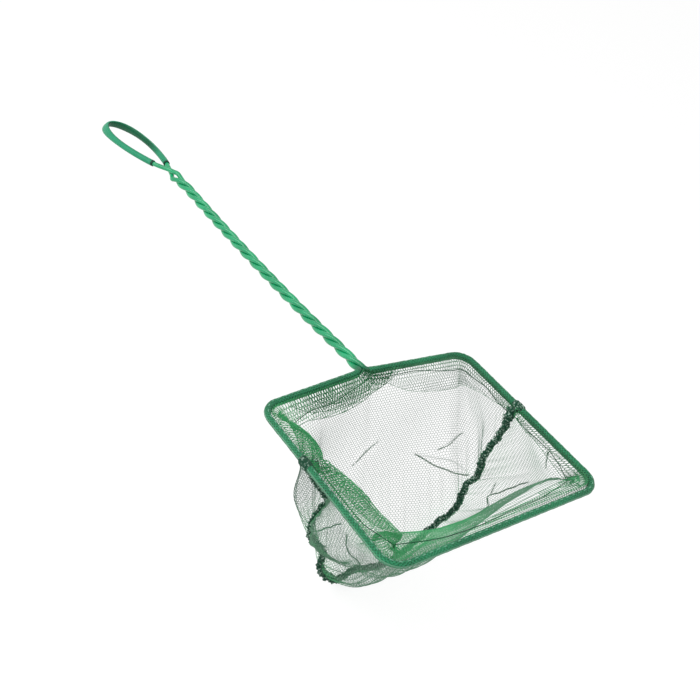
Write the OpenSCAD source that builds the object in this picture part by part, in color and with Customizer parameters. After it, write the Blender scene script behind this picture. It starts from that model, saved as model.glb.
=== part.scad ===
// Aquarium fish net: a coated wire hoop with a handle of three twisted strands, a two-panel
// netting bag and a soft hanging loop. Built with the hoop flat, the bag below it and the handle
// along +Y, then set with the middle of its box over the origin and the bottom of the bag at z = 0.

/* [Hoop] */
// Width of the mouth, between the wire's centre lines
hoop_w = 150; // [100:1:240]
// Length of the mouth, from the square corners to the far side
hoop_l = 123; // [90:1:180]
// How far the handle side rises to the handle, above its square corners
shoulder = 6.6; // [2:0.2:14]
// Bend radius of the hoop's corners, on the wire's centre line
corner_r = 11.4; // [8:0.2:20]
// Reach of each strand's bend out of the handle, along the handle side
joint_reach = 9; // [7:0.5:16]

/* [Wire] */
// Diameter of the steel core
core_d = 2.3; // [1.6:0.1:3]
// Thickness of the vinyl coat
coat_t = 0.4; // [0.3:0.05:0.8]

/* [Handle] */
// Length of the twist, from where the strands meet at the hoop to their crossing at the loop
twist_l = 232.5; // [150:0.5:320]
// Length of one turn of the twist
twist_pitch = 37.3; // [28:0.1:60]
// Where the right strand lies round the handle as the twist begins, in degrees above the right
start_turn = 38; // [0:1:80]
// How far the twist's beginning lies beyond the point where the handle side's lines meet
twist_rise = 2; // [1:0.5:5]
// Spare room between the strands
strand_gap = 0.2; // [0.05:0.05:0.4]
// How much wider than packed the strands stand at the small eye under the loop
eye_open = 0.65; // [0.3:0.05:2]
// Distance from the crossing at the loop back to the middle of the eye
eye_back = 4.6; // [3:0.1:8]
// Distance from the middle of the eye back to the third strand's end
third_back = 3; // [2:0.5:8]
// How far the loop end of the handle droops below the hoop's plane
handle_droop = 3.4; // [0:0.2:8]
// Sag of the handle's middle below its own straight line
handle_bow = 2.8; // [0:0.1:4]
// How far the loop end of the handle leans to the left
handle_lean = 2.4; // [0:0.2:8]
// How far the loop end of the handle is bent to the left, beyond its lean
handle_kick = 1.6; // [0:0.1:4]

/* [Hanging loop] */
// Length of the loop, from the strands' crossing to its far end
loop_l = 75; // [50:1:90]
// Width of the loop, between the tube's centre lines
loop_w = 21.4; // [16:0.2:30]
// How far the loop's far end leans to the left of the handle's line
loop_lean = 13.5; // [0:0.5:24]
// Outside width of the soft tube where it is pressed flat
tube_flat_w = 7; // [5.6:0.1:9]
// Outside thickness of the soft tube where it is pressed flat
tube_flat_t = 2.4; // [2:0.1:3]
// Wall of the soft tube
tube_wall = 0.55; // [0.4:0.05:0.7]
// Spare room between the tube's bore and the wire ends inside it
tube_fit = 0.15; // [0.1:0.05:0.3]
// Bare wire between the crossing and the tube's left end
stub_left = 15; // [10:0.5:20]
// Bare wire between the crossing and the tube's right end
stub_right = 13; // [8:0.5:18]
// Length of each wire end inside the tube
stub_grip = 9; // [6:0.5:14]

/* [Bag] */
// Depth of the bag, from the hoop's plane to the seam's lowest centre line
bag_d = 116.5; // [80:0.5:160]
// How far the seam's plane lies from the hoop's middle, towards the handle
seam_y = 12; // [0:0.5:20]
// How much further towards the handle the seam lies at its left end than in the middle
seam_skew = 3.5; // [0:0.5:8]
// Thickness of the gathered netting
net_t = 0.6; // [0.5:0.05:1]
// Thickness of the hem round the wire
hem_t = 0.35; // [0.25:0.05:0.7]
// Play between the hem and the wire's coat
hem_play = 0.05; // [0.03:0.01:0.1]
// Diameter of the rolled seam
seam_d = 3.8; // [2:0.1:4.4]
// How far the netting folds in under the hoop before it drops
fold_in = 20; // [8:0.5:24]
// How far the panels belly out above the seam
belly_out = 9; // [0:0.5:12]
// Width of the ribs that stand for the netting's yarns, between plain openings
net_rib = 3; // [2:0.5:6]
// Gap between soft pieces that lie against each other
soft_gap = 0.1; // [0.05:0.05:0.3]

/* [Stitching] */
// Length of the bar tacks, along the wire
tack_l = 8; // [5:0.5:12]
// Thickness of the bar tacks round the hem
tack_t = 0.6; // [0.4:0.05:1]
// Length of one stitch
stitch_l = 2.2; // [1:0.1:3]
// Thickness of the sewing thread
thread_d = 0.5; // [0.3:0.05:0.7]
// Distance from one hem stitch to the next
stitch_pitch = 4.6; // [3.6:0.1:8]
// Distance from one seam stitch to the next
seam_stitch_pitch = 7; // [5:0.5:12]

/* [Hidden] */

// Counts of the sweeps: sides round a wire, steps per turn, per corner and per bend, and the
// steps of each bend that the hem covers
wire_sides = 8;
turn_steps = 12;
corner_steps = 5;
bend_steps = 6;
hem_steps = 3;
stub_steps = 6;
loop_steps = 32;
tube_sides = 12;
seam_steps = 56;

// Greatest width of the teardrop curve, as a share of its own factor
teardrop_share = 0.77;
// Shares of the loop's length over which its wire ends come level and its lean sets in
level_share = 0.125;
lean_share = 0.03;
// Share of a turn over which the strands settle before they cross, and share of eye_back over
// which the eye opens and closes
settle_share = 0.32;
eye_share = 0.6;
// Share of the handle's length over which its end is bent to the left
kick_share = 0.1;
// Shares of the soft tube's route where it is still round, and where it is pressed flat
round_share = 0.17;
pressed_share = 0.42;

half_w = hoop_w / 2;
half_l = hoop_l / 2;
core_r = core_d / 2;
coat_r = core_r + coat_t;
hem_in_r = coat_r + hem_play;
hem_r = hem_in_r + hem_t;
tack_in_r = hem_r + soft_gap;
tack_r = tack_in_r + tack_t;
seam_r = seam_d / 2;
lean_deg = atan2(shoulder, half_w);
apex_y = half_l + shoulder;
twist_y = apex_y + twist_rise;
cross_y = twist_y + twist_l;
pair_r = coat_r + strand_gap / 2;
twist_steps = ceil(twist_l / twist_pitch * turn_steps);
third_l = twist_l - eye_back - third_back;
loop_h = loop_w / 2 / teardrop_share;
tube_r = coat_r + tube_fit + tube_wall;
loop_end_y = cross_y + loop_l + tube_flat_t / 2;

// The object's box: the origin lies under its middle, at the seam's lowest point
shift_y = (half_l + hem_r - loop_end_y) / 2;
shift_z = bag_d + seam_r;

// Shares of the bag's half width and depth along the seam, from the left tack to the right one
seam_shares = [[-1, 0], [-0.95, 0.08], [-0.86, 0.17], [-0.77, 0.25], [-0.745, 0.3], [-0.785, 0.34],
    [-0.82, 0.385], [-0.83, 0.45], [-0.81, 0.52], [-0.765, 0.58], [-0.685, 0.63], [-0.615, 0.7],
    [-0.59, 0.745], [-0.597, 0.79], [-0.574, 0.845], [-0.5, 0.915], [-0.39, 0.98], [-0.305, 1],
    [-0.26, 0.98], [-0.21, 0.96], [-0.135, 0.965], [-0.01, 0.99], [0.1, 1], [0.2, 1], [0.32, 0.96],
    [0.44, 0.9], [0.54, 0.84], [0.605, 0.8], [0.66, 0.77], [0.755, 0.735], [0.815, 0.695],
    [0.822, 0.62], [0.82, 0.545], [0.845, 0.495], [0.915, 0.47], [0.917, 0.41], [0.892, 0.335],
    [0.906, 0.27], [0.947, 0.21], [0.99, 0.145], [1, 0.07], [1, 0]];
// Shares of fold_in along the rim of each panel, against the share of the rim's length
fold_back_shares = [[0, 0.5], [0.06, 0.8], [0.2, 0.85], [0.3, 0.4], [0.5, 0.3], [0.8, 0.25], [1, 0]];
fold_front_shares = [[0, 0.5], [0.08, 0.85], [0.2, 0.95], [0.3, 0.75], [0.4, 0.65], [0.6, 0.6],
    [0.75, 0.45], [0.9, 0.3], [1, 0]];
// Share of the drop at which the fold reaches furthest in
fold_depth_back_shares = [[0, 0.2], [0.2, 0.3], [0.35, 0.14], [1, 0.14]];
fold_depth_front_shares = [[0, 0.2], [0.1, 0.14], [1, 0.14]];
// Shares of belly_out along the rim of each panel
belly_back_shares = [[0, 0.3], [0.05, 0.8], [0.15, 0.9], [0.3, 0.6], [0.4, 0.2], [0.5, 0], [1, 0]];
belly_front_shares = [[0, 0], [0.1, 0.2], [0.3, 0.9], [0.42, 1], [0.55, 0.55], [0.7, 0.2], [1, 0]];
// Share of each rim that its tacks gather in, at either end
tacked_share = 0.025;
// Openings across and down each panel, the share of the drop above them and the power by which
// they lie closer together near the hoop
openings_across = 12;
openings_down = 4;
band_share = 0.05;
row_power = 1.3;

vinyl = [0.16, 0.56, 0.38];
steel = [0.62, 0.63, 0.64];
netting = [0.2, 0.45, 0.34];
hem_green = [0.13, 0.47, 0.33];
seam_green = [0.07, 0.26, 0.19];
tube_green = [0.25, 0.63, 0.46];
thread = [0.6, 0.78, 0.68];

function unit(v) = v / norm(v);
function mix(a, b, share) = a * (1 - share) + b * share;

// Rising and falling smooth step from 0 to 1 over 0 to 1
function ease(x) = let(u = min(1, max(0, x))) u * u * (3 - 2 * u);

// A round corner of the hoop, inset from the wire's centre line towards the mouth
function corner(cx, cy, r, from_deg, to_deg) =
    [for (i = [0:corner_steps]) let(a = mix(from_deg, to_deg, i / corner_steps))
        [cx + r * cos(a), cy + r * sin(a), 0]];

// The handle side's corner has a blunter angle, because the side rises to the handle
function handle_corner_y(inset) =
    half_l - inset / cos(lean_deg) + inset * tan(lean_deg) - (corner_r - inset) * tan(45 - lean_deg / 2);
function corner_a(inset) =
    corner(corner_r - half_w, handle_corner_y(inset), corner_r - inset, 180, 90 + lean_deg);
function corner_b(inset) =
    corner(half_w - corner_r, handle_corner_y(inset), corner_r - inset, 90 - lean_deg, 0);
function corner_c(inset) =
    corner(half_w - corner_r, corner_r - half_l, corner_r - inset, 0, -90);
function corner_d(inset) =
    corner(corner_r - half_w, corner_r - half_l, corner_r - inset, -90, -180);

// A point of the handle side at x from the middle
function side_point(x, inset) = [x, apex_y - inset / cos(lean_deg) - abs(x) * tan(lean_deg), 0];

// Line of the handle's own sag, droop, lean and bend, at y along the handle
function handle_line(y) =
    let(u = (y - twist_y) / twist_l)
        u <= 0 ? [0, y, 0]
        : [-handle_lean * u * ease(u * 4) - handle_kick * ease((u - 1) / kick_share + 1), y,
            -handle_droop * u * ease(u * 4) - handle_bow * 4 * max(0, u * (1 - u))];

// The three strands of the twist, a third of a turn apart: number 0 comes from the right of the
// hoop, 1 from the left, and 2 is the third one, which ends before the eye. At the crossing
// strand 0 lies on top of strand 1, so the last turns settle towards that.
end_turn = 90 + 360 * round((start_turn + 360 * twist_l / twist_pitch - 90) / 360);
lag = end_turn - start_turn - 360 * twist_l / twist_pitch;
function settled(s) = exp((s - twist_l) / (twist_pitch * settle_share));
function strand_angle(s, k) =
    start_turn + 120 * k + 360 * s / twist_pitch + (lag + [0, 60, 30][k]) * settled(s);
// The strands touch while there are three, part at the eye and lie in a pair at the crossing
function strand_radius(s) =
    let(packed = pair_r / sin(60 - 15 * settled(s)))
        mix(pair_r, packed, ease((twist_l - s) / eye_back))
            + eye_open * exp(-pow((twist_l - s - eye_back) / (eye_back * eye_share), 2));
function strand_point(s, k) =
    let(a = strand_angle(s, k))
        handle_line(twist_y + s) + strand_radius(s) * [cos(a), 0, sin(a)];

// The bend of strand 0 or 1 out of the handle into the handle side, a cubic between two tangents
function bend_point(t, k) =
    let(side = k == 0 ? 1 : -1,
        from = side_point(side * joint_reach, 0),
        to = strand_point(0, k),
        leave = from + joint_reach / 2 * [-side * cos(lean_deg), sin(lean_deg), 0],
        arrive = to - joint_reach / 4 * unit(strand_point(twist_pitch / 60, k) - to))
        pow(1 - t, 3) * from + 3 * t * pow(1 - t, 2) * leave + 3 * t * t * (1 - t) * arrive
            + pow(t, 3) * to;

// The hanging loop's centre line: a teardrop, drawn from the crossing round the left side,
// over the far end and back down the right side. The two wire ends lie one over the other
// at the crossing and come level as they part.
function loop_point(a) =
    let(along = loop_l * (1 - cos(a)) / 2,
        across = -loop_h * sin(a) * sin(a / 2),
        lean = loop_lean * pow(along / loop_l, 2) * (1 + lean_share) / (along / loop_l + lean_share),
        level = pair_r * exp(-pow(along / (loop_l * level_share), 2)))
        handle_line(cross_y) + [across - lean, along, (a < 180 ? 1 : -1) * level];
// The angle on the teardrop at a height above the crossing
function loop_angle(height) = acos(1 - 2 * height / loop_l);

// Routes of the wire: the twist and the stub of each strand, and the hoop. Strand 0 ends in the
// left end of the tube, strand 1 in its right end.
function stub_point(i, k) =
    let(height = i / stub_steps * ((k == 0 ? stub_left : stub_right) + stub_grip))
        loop_point(k == 0 ? loop_angle(height) : 360 - loop_angle(height));
function strand_route(k) = concat(
    [for (i = [0:bend_steps - 1]) bend_point(i / bend_steps, k)],
    [for (i = [0:twist_steps - 1]) strand_point(i * twist_l / twist_steps, k)],
    [for (i = [0:stub_steps]) stub_point(i, k)]);
hoop_route = concat([side_point(joint_reach, 0)], corner_b(0), corner_c(0), corner_d(0), corner_a(0),
    [side_point(-joint_reach, 0)]);
third_route = [for (i = [0:twist_steps]) strand_point(i * third_l / twist_steps, 2)];
function reversed(list) = [for (i = [len(list) - 1:-1:0]) list[i]];
function middle(list) = [for (i = [1:len(list) - 2]) list[i]];
right_route = strand_route(0);
left_route = strand_route(1);
wire_route = concat(reversed(right_route), middle(hoop_route), left_route);

// Direction of a route at point i
function tangent(route, i) = unit(route[min(len(route) - 1, i + 1)] - route[max(0, i - 1)]);

// Points of one ring round a route, w across the plane of up and t along it
function ring(p, along, up, w, t, sides) =
    let(a = unit(cross(along, up)), b = cross(a, along))
        [for (k = [0:sides - 1]) p + t * cos(360 * k / sides) * a + w * sin(360 * k / sides) * b];

// Faces between two rings, and flat ends of a solid or a hollow sweep
function wall_faces(rings, sides, start, flip) = [for (i = [0:rings - 2], k = [0:sides - 1], h = [0, 1])
    let(a = start + i * sides + k, b = start + i * sides + (k + 1) % sides, c = a + sides, d = b + sides,
        f = h == 0 ? [a, b, d] : [a, d, c])
        flip ? reversed(f) : f];
function disc_faces(sides, start, flip) = [for (k = [1:sides - 2])
    let(f = [start, start + k + 1, start + k]) flip ? reversed(f) : f];
function annulus_faces(sides, outer, inner, flip) = [for (k = [0:sides - 1], h = [0, 1])
    let(a = outer + k, b = outer + (k + 1) % sides, c = inner + k, d = inner + (k + 1) % sides,
        f = h == 0 ? [a, d, b] : [a, c, d])
        flip ? reversed(f) : f];

// A solid round tube along a route
module sweep(route, r, sides, up) {
    rings = len(route);
    points = [for (i = [0:rings - 1]) each ring(route[i], tangent(route, i), up, r, r, sides)];
    polyhedron(points, concat(wall_faces(rings, sides, 0, false), disc_faces(sides, 0, false),
        disc_faces(sides, (rings - 1) * sides, true)));
}

// A hollow tube along a route, its half widths and half thicknesses given point by point
module shell_sweep(route, out_w, out_t, in_w, in_t, sides, up) {
    rings = len(route);
    outer = [for (i = [0:rings - 1]) each ring(route[i], tangent(route, i), up, out_w[i], out_t[i], sides)];
    inner = [for (i = [0:rings - 1]) each ring(route[i], tangent(route, i), up, in_w[i], in_t[i], sides)];
    bore = rings * sides;
    polyhedron(concat(outer, inner), concat(
        wall_faces(rings, sides, 0, false), wall_faces(rings, sides, bore, true),
        annulus_faces(sides, 0, bore, false),
        annulus_faces(sides, bore - sides, 2 * bore - sides, true)));
}

// A hollow round tube of constant size
module round_shell(route, out_r, in_r, sides, up) {
    every = [for (p = route) 1];
    shell_sweep(route, out_r * every, out_r * every, in_r * every, in_r * every, sides, up);
}

// Part of a route between two shares of its length, cut at the route's own points
function lengths(route, i = 0, sum = 0) =
    i == len(route) - 1 ? [sum] : concat([sum], lengths(route, i + 1, sum + norm(route[i + 1] - route[i])));
function walk(route, run, at) =
    let(i = max([for (k = [0:len(run) - 2]) if (run[k] <= at || k == 0) k]),
        share = (at - run[i]) / (run[i + 1] - run[i]))
        mix(route[i], route[i + 1], share);
function at_shares(route, shares) =
    let(run = lengths(route), total = run[len(run) - 1])
        [for (share = shares) walk(route, run, total * share)];

// Smooth curve through the seam's shares
function catmull(a, b, c, d, t) =
    (2 * b + (c - a) * t + (2 * a - 5 * b + 4 * c - d) * t * t + (3 * b - a - 3 * c + d) * t * t * t) / 2;
last_share = len(seam_shares) - 1;
seam_half = half_w - tack_r - seam_r - soft_gap;
seam_top = tack_r;
function seam_plane(x) = seam_y - seam_skew * x / half_w;
function tack_place(side) = [side * half_w, seam_plane(side * half_w), 0];
seam_fine = [for (i = [0:last_share - 1], t = [0:0.25:0.75])
    let(p = catmull(seam_shares[max(0, i - 1)], seam_shares[i], seam_shares[i + 1],
        seam_shares[min(last_share, i + 2)], t))
        [p.x * seam_half, seam_plane(p.x * seam_half), -mix(seam_top, bag_d, min(1, p.y))]];
seam_curve = concat(seam_fine, [[seam_half, seam_plane(seam_half), -seam_top]]);
seam_route = at_shares(seam_curve, [for (i = [0:seam_steps]) i / seam_steps]);

// Lines of a panel between its openings: the two edges and the middle of each opening
function opening_lines(count, rib_share) =
    [for (c = [0:count - 1], m = [rib_share / 2, 0.5, 1 - rib_share / 2]) (c + m) / count];

// The rim that each panel hangs from, just inside the hem, from the left tack to the right one
rim_inset = hem_r + net_t / 2 + soft_gap;
rim_left = tack_place(-1) + [rim_inset, 0, 0];
rim_right = tack_place(1) - [rim_inset, 0, 0];
rim_back_curve = concat([rim_left], corner_a(rim_inset), [side_point(0, rim_inset)],
    corner_b(rim_inset), [rim_right]);
rim_front_curve = concat([rim_left], reversed(corner_d(rim_inset)), reversed(corner_c(rim_inset)),
    [rim_right]);
function rim_length(curve) = let(run = lengths(curve)) run[len(run) - 1];
function col_shares(curve) = [for (share = concat([0],
    opening_lines(openings_across, net_rib * openings_across / rim_length(curve)), [1]))
    mix(tacked_share, 1 - tacked_share, share)];
row_shares = concat([0], [for (share = opening_lines(openings_down, net_rib * openings_down / bag_d))
    mix(band_share, 1, pow(share, row_power))], [1]);
seam_clear = seam_r + net_t / 2 + soft_gap;

// A point of a panel: share t along the rim, share s of the way down to the seam. The netting
// folds in under the hoop first, then drops in a straight line and bellies out above the seam.
function panel_point(top, seam, run, t, s, side) =
    let(foot = seam + [0, side * seam_clear, 0],
        inward = side * [run.y, -run.x, 0],
        depth = lookup(t, side > 0 ? fold_depth_back_shares : fold_depth_front_shares),
        reach = fold_in * lookup(t, side > 0 ? fold_back_shares : fold_front_shares),
        fold = s / depth * exp(1 - s / depth) * (1 - s),
        swell = belly_out * lookup(t, side > 0 ? belly_back_shares : belly_front_shares),
        belly = swell * sin(180 * pow(s, 3)))
        mix(top, foot, s) + (reach * fold - belly) * inward;

// Whether a panel is solid between two of its lines each way: it is open where both lie in openings
function solid(j, i, rows, cols) =
    j >= 0 && i >= 0 && j < rows && i < cols && (j % 3 == 0 || i % 3 == 0);

// A panel as a closed skin with plain openings: its grid of points moved half a thickness each way
module panel(curve, side) {
    shares = col_shares(curve);
    cols = len(shares) - 1;
    rows = len(row_shares) - 1;
    width = cols + 1;
    rim = at_shares(curve, shares);
    seam = at_shares(seam_curve, shares);
    grid = [for (s = row_shares, i = [0:cols])
        panel_point(rim[i], seam[i], tangent(rim, i), shares[i], s, side)];
    function at(j, i) = grid[min(rows, max(0, j)) * width + min(cols, max(0, i))];
    normals = [for (j = [0:rows], i = [0:cols])
        unit(cross(at(j, i + 1) - at(j, i - 1), at(j + 1, i) - at(j - 1, i)))];
    near = [for (k = [0:len(grid) - 1]) grid[k] + normals[k] * net_t / 2];
    far = [for (k = [0:len(grid) - 1]) grid[k] - normals[k] * net_t / 2];
    back = len(grid);
    cells = [for (j = [0:rows - 1], i = [0:cols - 1]) if (solid(j, i, rows, cols)) [j, i]];
    quads = [for (c = cells) let(a = c[0] * width + c[1]) [a, a + 1, a + width + 1, a + width]];
    skins = [for (q = quads) each [[q[2], q[1], q[0]], [q[3], q[2], q[0]],
        [back + q[0], back + q[1], back + q[2]], [back + q[0], back + q[2], back + q[3]]]];
    beside = [[-1, 0], [0, 1], [1, 0], [0, -1]];
    edges = [for (n = [0:len(cells) - 1], e = [0:3])
        if (!solid(cells[n][0] + beside[e][0], cells[n][1] + beside[e][1], rows, cols))
            let(a = quads[n][e], b = quads[n][(e + 1) % 4])
                each [[a, b, back + b], [a, back + b, back + a]]];
    polyhedron(concat(near, far), concat(skins, edges));
}

// Hem routes: the same centre line as the wire, cut part way up the strands' bends and at the tacks
function hem_bend(k) = [for (i = [0:hem_steps]) bend_point((hem_steps - i) / bend_steps, k)];
hem_back_left_route = concat(hem_bend(1), reversed(corner_a(0)), [tack_place(-1)]);
hem_back_right_route = concat(hem_bend(0), corner_b(0), [tack_place(1)]);
hem_front_route = concat([tack_place(-1) - [0, soft_gap, 0]], reversed(corner_d(0)), reversed(corner_c(0)),
    [tack_place(1) - [0, soft_gap, 0]]);

module place() {
    translate([0, shift_y, shift_z]) children();
}

module wire_core() {
    color(steel) place() sweep(wire_route, core_r, wire_sides, [0, 0, 1]);
}

module third_core() {
    color(steel) place() sweep(third_route, core_r, wire_sides, [0, 0, 1]);
}

module hoop_coat() {
    color(vinyl) place() round_shell(hoop_route, coat_r, core_r, wire_sides, [0, 0, 1]);
}

module strand_coat_left() {
    color(vinyl) place() round_shell(left_route, coat_r, core_r, wire_sides, [0, 0, 1]);
}

module strand_coat_right() {
    color(vinyl) place() round_shell(right_route, coat_r, core_r, wire_sides, [0, 0, 1]);
}

module strand_coat_third() {
    color(vinyl) place() round_shell(third_route, coat_r, core_r, wire_sides, [0, 0, 1]);
}

// Soft tube over the two wire ends, round at its ends and pressed flat in the middle
module hang_loop_tube() {
    from = loop_angle(stub_left);
    to = 360 - loop_angle(stub_right);
    route = [for (i = [0:loop_steps]) loop_point(mix(from, to, i / loop_steps))];
    flat = [for (i = [0:loop_steps]) let(end = min(i, loop_steps - i) / loop_steps)
        ease((end - round_share) / (pressed_share - round_share))];
    out_w = [for (f = flat) mix(tube_r, tube_flat_w / 2, f)];
    out_t = [for (f = flat) mix(tube_r, tube_flat_t / 2, f)];
    in_w = [for (w = out_w) w - tube_wall];
    in_t = [for (t = out_t) t - tube_wall];
    color(tube_green) place() shell_sweep(route, out_w, out_t, in_w, in_t, tube_sides, [0, 0, 1]);
}

module net_panel_back() {
    color(netting) place() panel(rim_back_curve, 1);
}

module net_panel_front() {
    color(netting) place() panel(rim_front_curve, -1);
}

module hem_back_left() {
    color(hem_green) place() round_shell(hem_back_left_route, hem_r, hem_in_r, wire_sides, [0, 0, 1]);
}

module hem_back_right() {
    color(hem_green) place() round_shell(hem_back_right_route, hem_r, hem_in_r, wire_sides, [0, 0, 1]);
}

module hem_front() {
    color(hem_green) place() round_shell(hem_front_route, hem_r, hem_in_r, wire_sides, [0, 0, 1]);
}

// Rolled, gathered seam that joins the two panels, hung between the two tacks
module bag_seam() {
    color(seam_green) place() sweep(seam_route, seam_r, wire_sides, [0, 1, 0]);
}

// A sleeve of dense stitches round the hem, where the seam and the two hems meet
module bar_tack(side) {
    color(seam_green) place() translate(tack_place(side)) rotate([90, 0, 0]) difference() {
        cylinder(h = tack_l, r = tack_r, center = true, $fn = 32);
        cylinder(h = tack_l + 2 * soft_gap, r = tack_in_r, center = true, $fn = 32);
    }
}

module bar_tack_left() {
    bar_tack(-1);
}

module bar_tack_right() {
    bar_tack(1);
}

// One stitch laid along a route at a distance from its start, on the crown given by up
module stitch(route, run, at, lift, up, deep, wide) {
    p = walk(route, run, at);
    q = walk(route, run, at + stitch_l / 2);
    along = unit(q - p);
    a = unit(cross(along, up));
    b = cross(a, along);
    multmatrix([[along.x, a.x, b.x, p.x], [along.y, a.y, b.y, p.y], [along.z, a.z, b.z, p.z], [0, 0, 0, 1]])
        translate([0, 0, lift + deep / 2]) cube([stitch_l, wide, deep], center = true);
}

module stitch_row(route, step, skip, lift, up) {
    run = lengths(route);
    total = run[len(run) - 1];
    count = floor((total - 2 * skip) / step);
    for (i = [0:count]) {
        stitch(route, run, skip + (total - 2 * skip) * i / count, lift, up, thread_d, thread_d);
    }
}

module hem_stitches() {
    color(thread) place() {
        stitch_row(hem_back_left_route, stitch_pitch, tack_l, hem_r + soft_gap / 2, [0, 0, 1]);
        stitch_row(hem_back_right_route, stitch_pitch, tack_l, hem_r + soft_gap / 2, [0, 0, 1]);
        stitch_row(hem_front_route, stitch_pitch, tack_l, hem_r + soft_gap / 2, [0, 0, 1]);
    }
}

module seam_stitches() {
    color(thread) place()
        stitch_row(seam_route, seam_stitch_pitch, tack_l, seam_r + soft_gap / 2, [0, 1, 0]);
}

wire_core();
third_core();
hoop_coat();
strand_coat_left();
strand_coat_right();
strand_coat_third();
hang_loop_tube();
net_panel_back();
net_panel_front();
hem_back_left();
hem_back_right();
hem_front();
bag_seam();
bar_tack_left();
bar_tack_right();
hem_stitches();
seam_stitches();
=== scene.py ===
"""Looks for the aquarium fish net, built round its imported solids.

Every shape is worked out in millimetres in the hoop's own frame: the hoop's middle is the
origin, +Y runs to the handle, +Z points up out of the mouth. The last step of every mesh
moves it into the row's frame and into metres.
"""

import logging
import math
from collections.abc import Sequence
from dataclasses import dataclass, field
from enum import Enum

import bpy
import numpy as np
from mathutils import Matrix, Vector


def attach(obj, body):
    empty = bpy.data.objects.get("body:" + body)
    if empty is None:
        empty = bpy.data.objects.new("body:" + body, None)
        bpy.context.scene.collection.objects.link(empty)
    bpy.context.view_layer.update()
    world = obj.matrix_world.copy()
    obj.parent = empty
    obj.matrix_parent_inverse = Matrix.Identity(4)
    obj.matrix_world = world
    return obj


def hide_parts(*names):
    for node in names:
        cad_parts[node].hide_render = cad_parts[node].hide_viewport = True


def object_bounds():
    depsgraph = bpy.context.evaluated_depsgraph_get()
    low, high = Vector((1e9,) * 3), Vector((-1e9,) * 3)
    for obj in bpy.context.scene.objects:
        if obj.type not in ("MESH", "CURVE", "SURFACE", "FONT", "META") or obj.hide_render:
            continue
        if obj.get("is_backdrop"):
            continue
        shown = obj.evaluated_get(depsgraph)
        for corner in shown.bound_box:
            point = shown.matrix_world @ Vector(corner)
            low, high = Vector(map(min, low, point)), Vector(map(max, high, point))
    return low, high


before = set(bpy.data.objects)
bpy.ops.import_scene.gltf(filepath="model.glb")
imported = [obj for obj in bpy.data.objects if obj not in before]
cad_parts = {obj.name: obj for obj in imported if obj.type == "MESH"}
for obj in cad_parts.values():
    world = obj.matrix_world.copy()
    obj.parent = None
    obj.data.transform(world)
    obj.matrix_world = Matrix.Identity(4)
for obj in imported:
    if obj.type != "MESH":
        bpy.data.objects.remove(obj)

log = logging.getLogger("fish_net")

Array = np.ndarray
Piece = bpy.types.Object
Socket = bpy.types.NodeSocket
Colour = tuple[int, int, int]
# Knots of a smooth curve over the rim: a share of the rim and a value there
Table = tuple[tuple[float, float], ...]
MM = 0.001
UP = np.array([0.0, 0.0, 1.0])
TO_HANDLE = np.array([0.0, 1.0, 0.0])
WHITE = (1.0, 1.0, 1.0, 1.0)
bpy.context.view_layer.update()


class Side(Enum):
    """The two sides of the mouth, seen from the far side towards the handle."""

    LEFT = -1
    RIGHT = 1


class Strand(Enum):
    """The handle's strands, a third of a turn apart: the hoop's two ends, and the third one."""

    RIGHT = 0
    LEFT = 1
    THIRD = 2


class Half(Enum):
    """The bag's two panels: the back one hangs on the handle's side."""

    BACK = 1
    FRONT = -1


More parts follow.
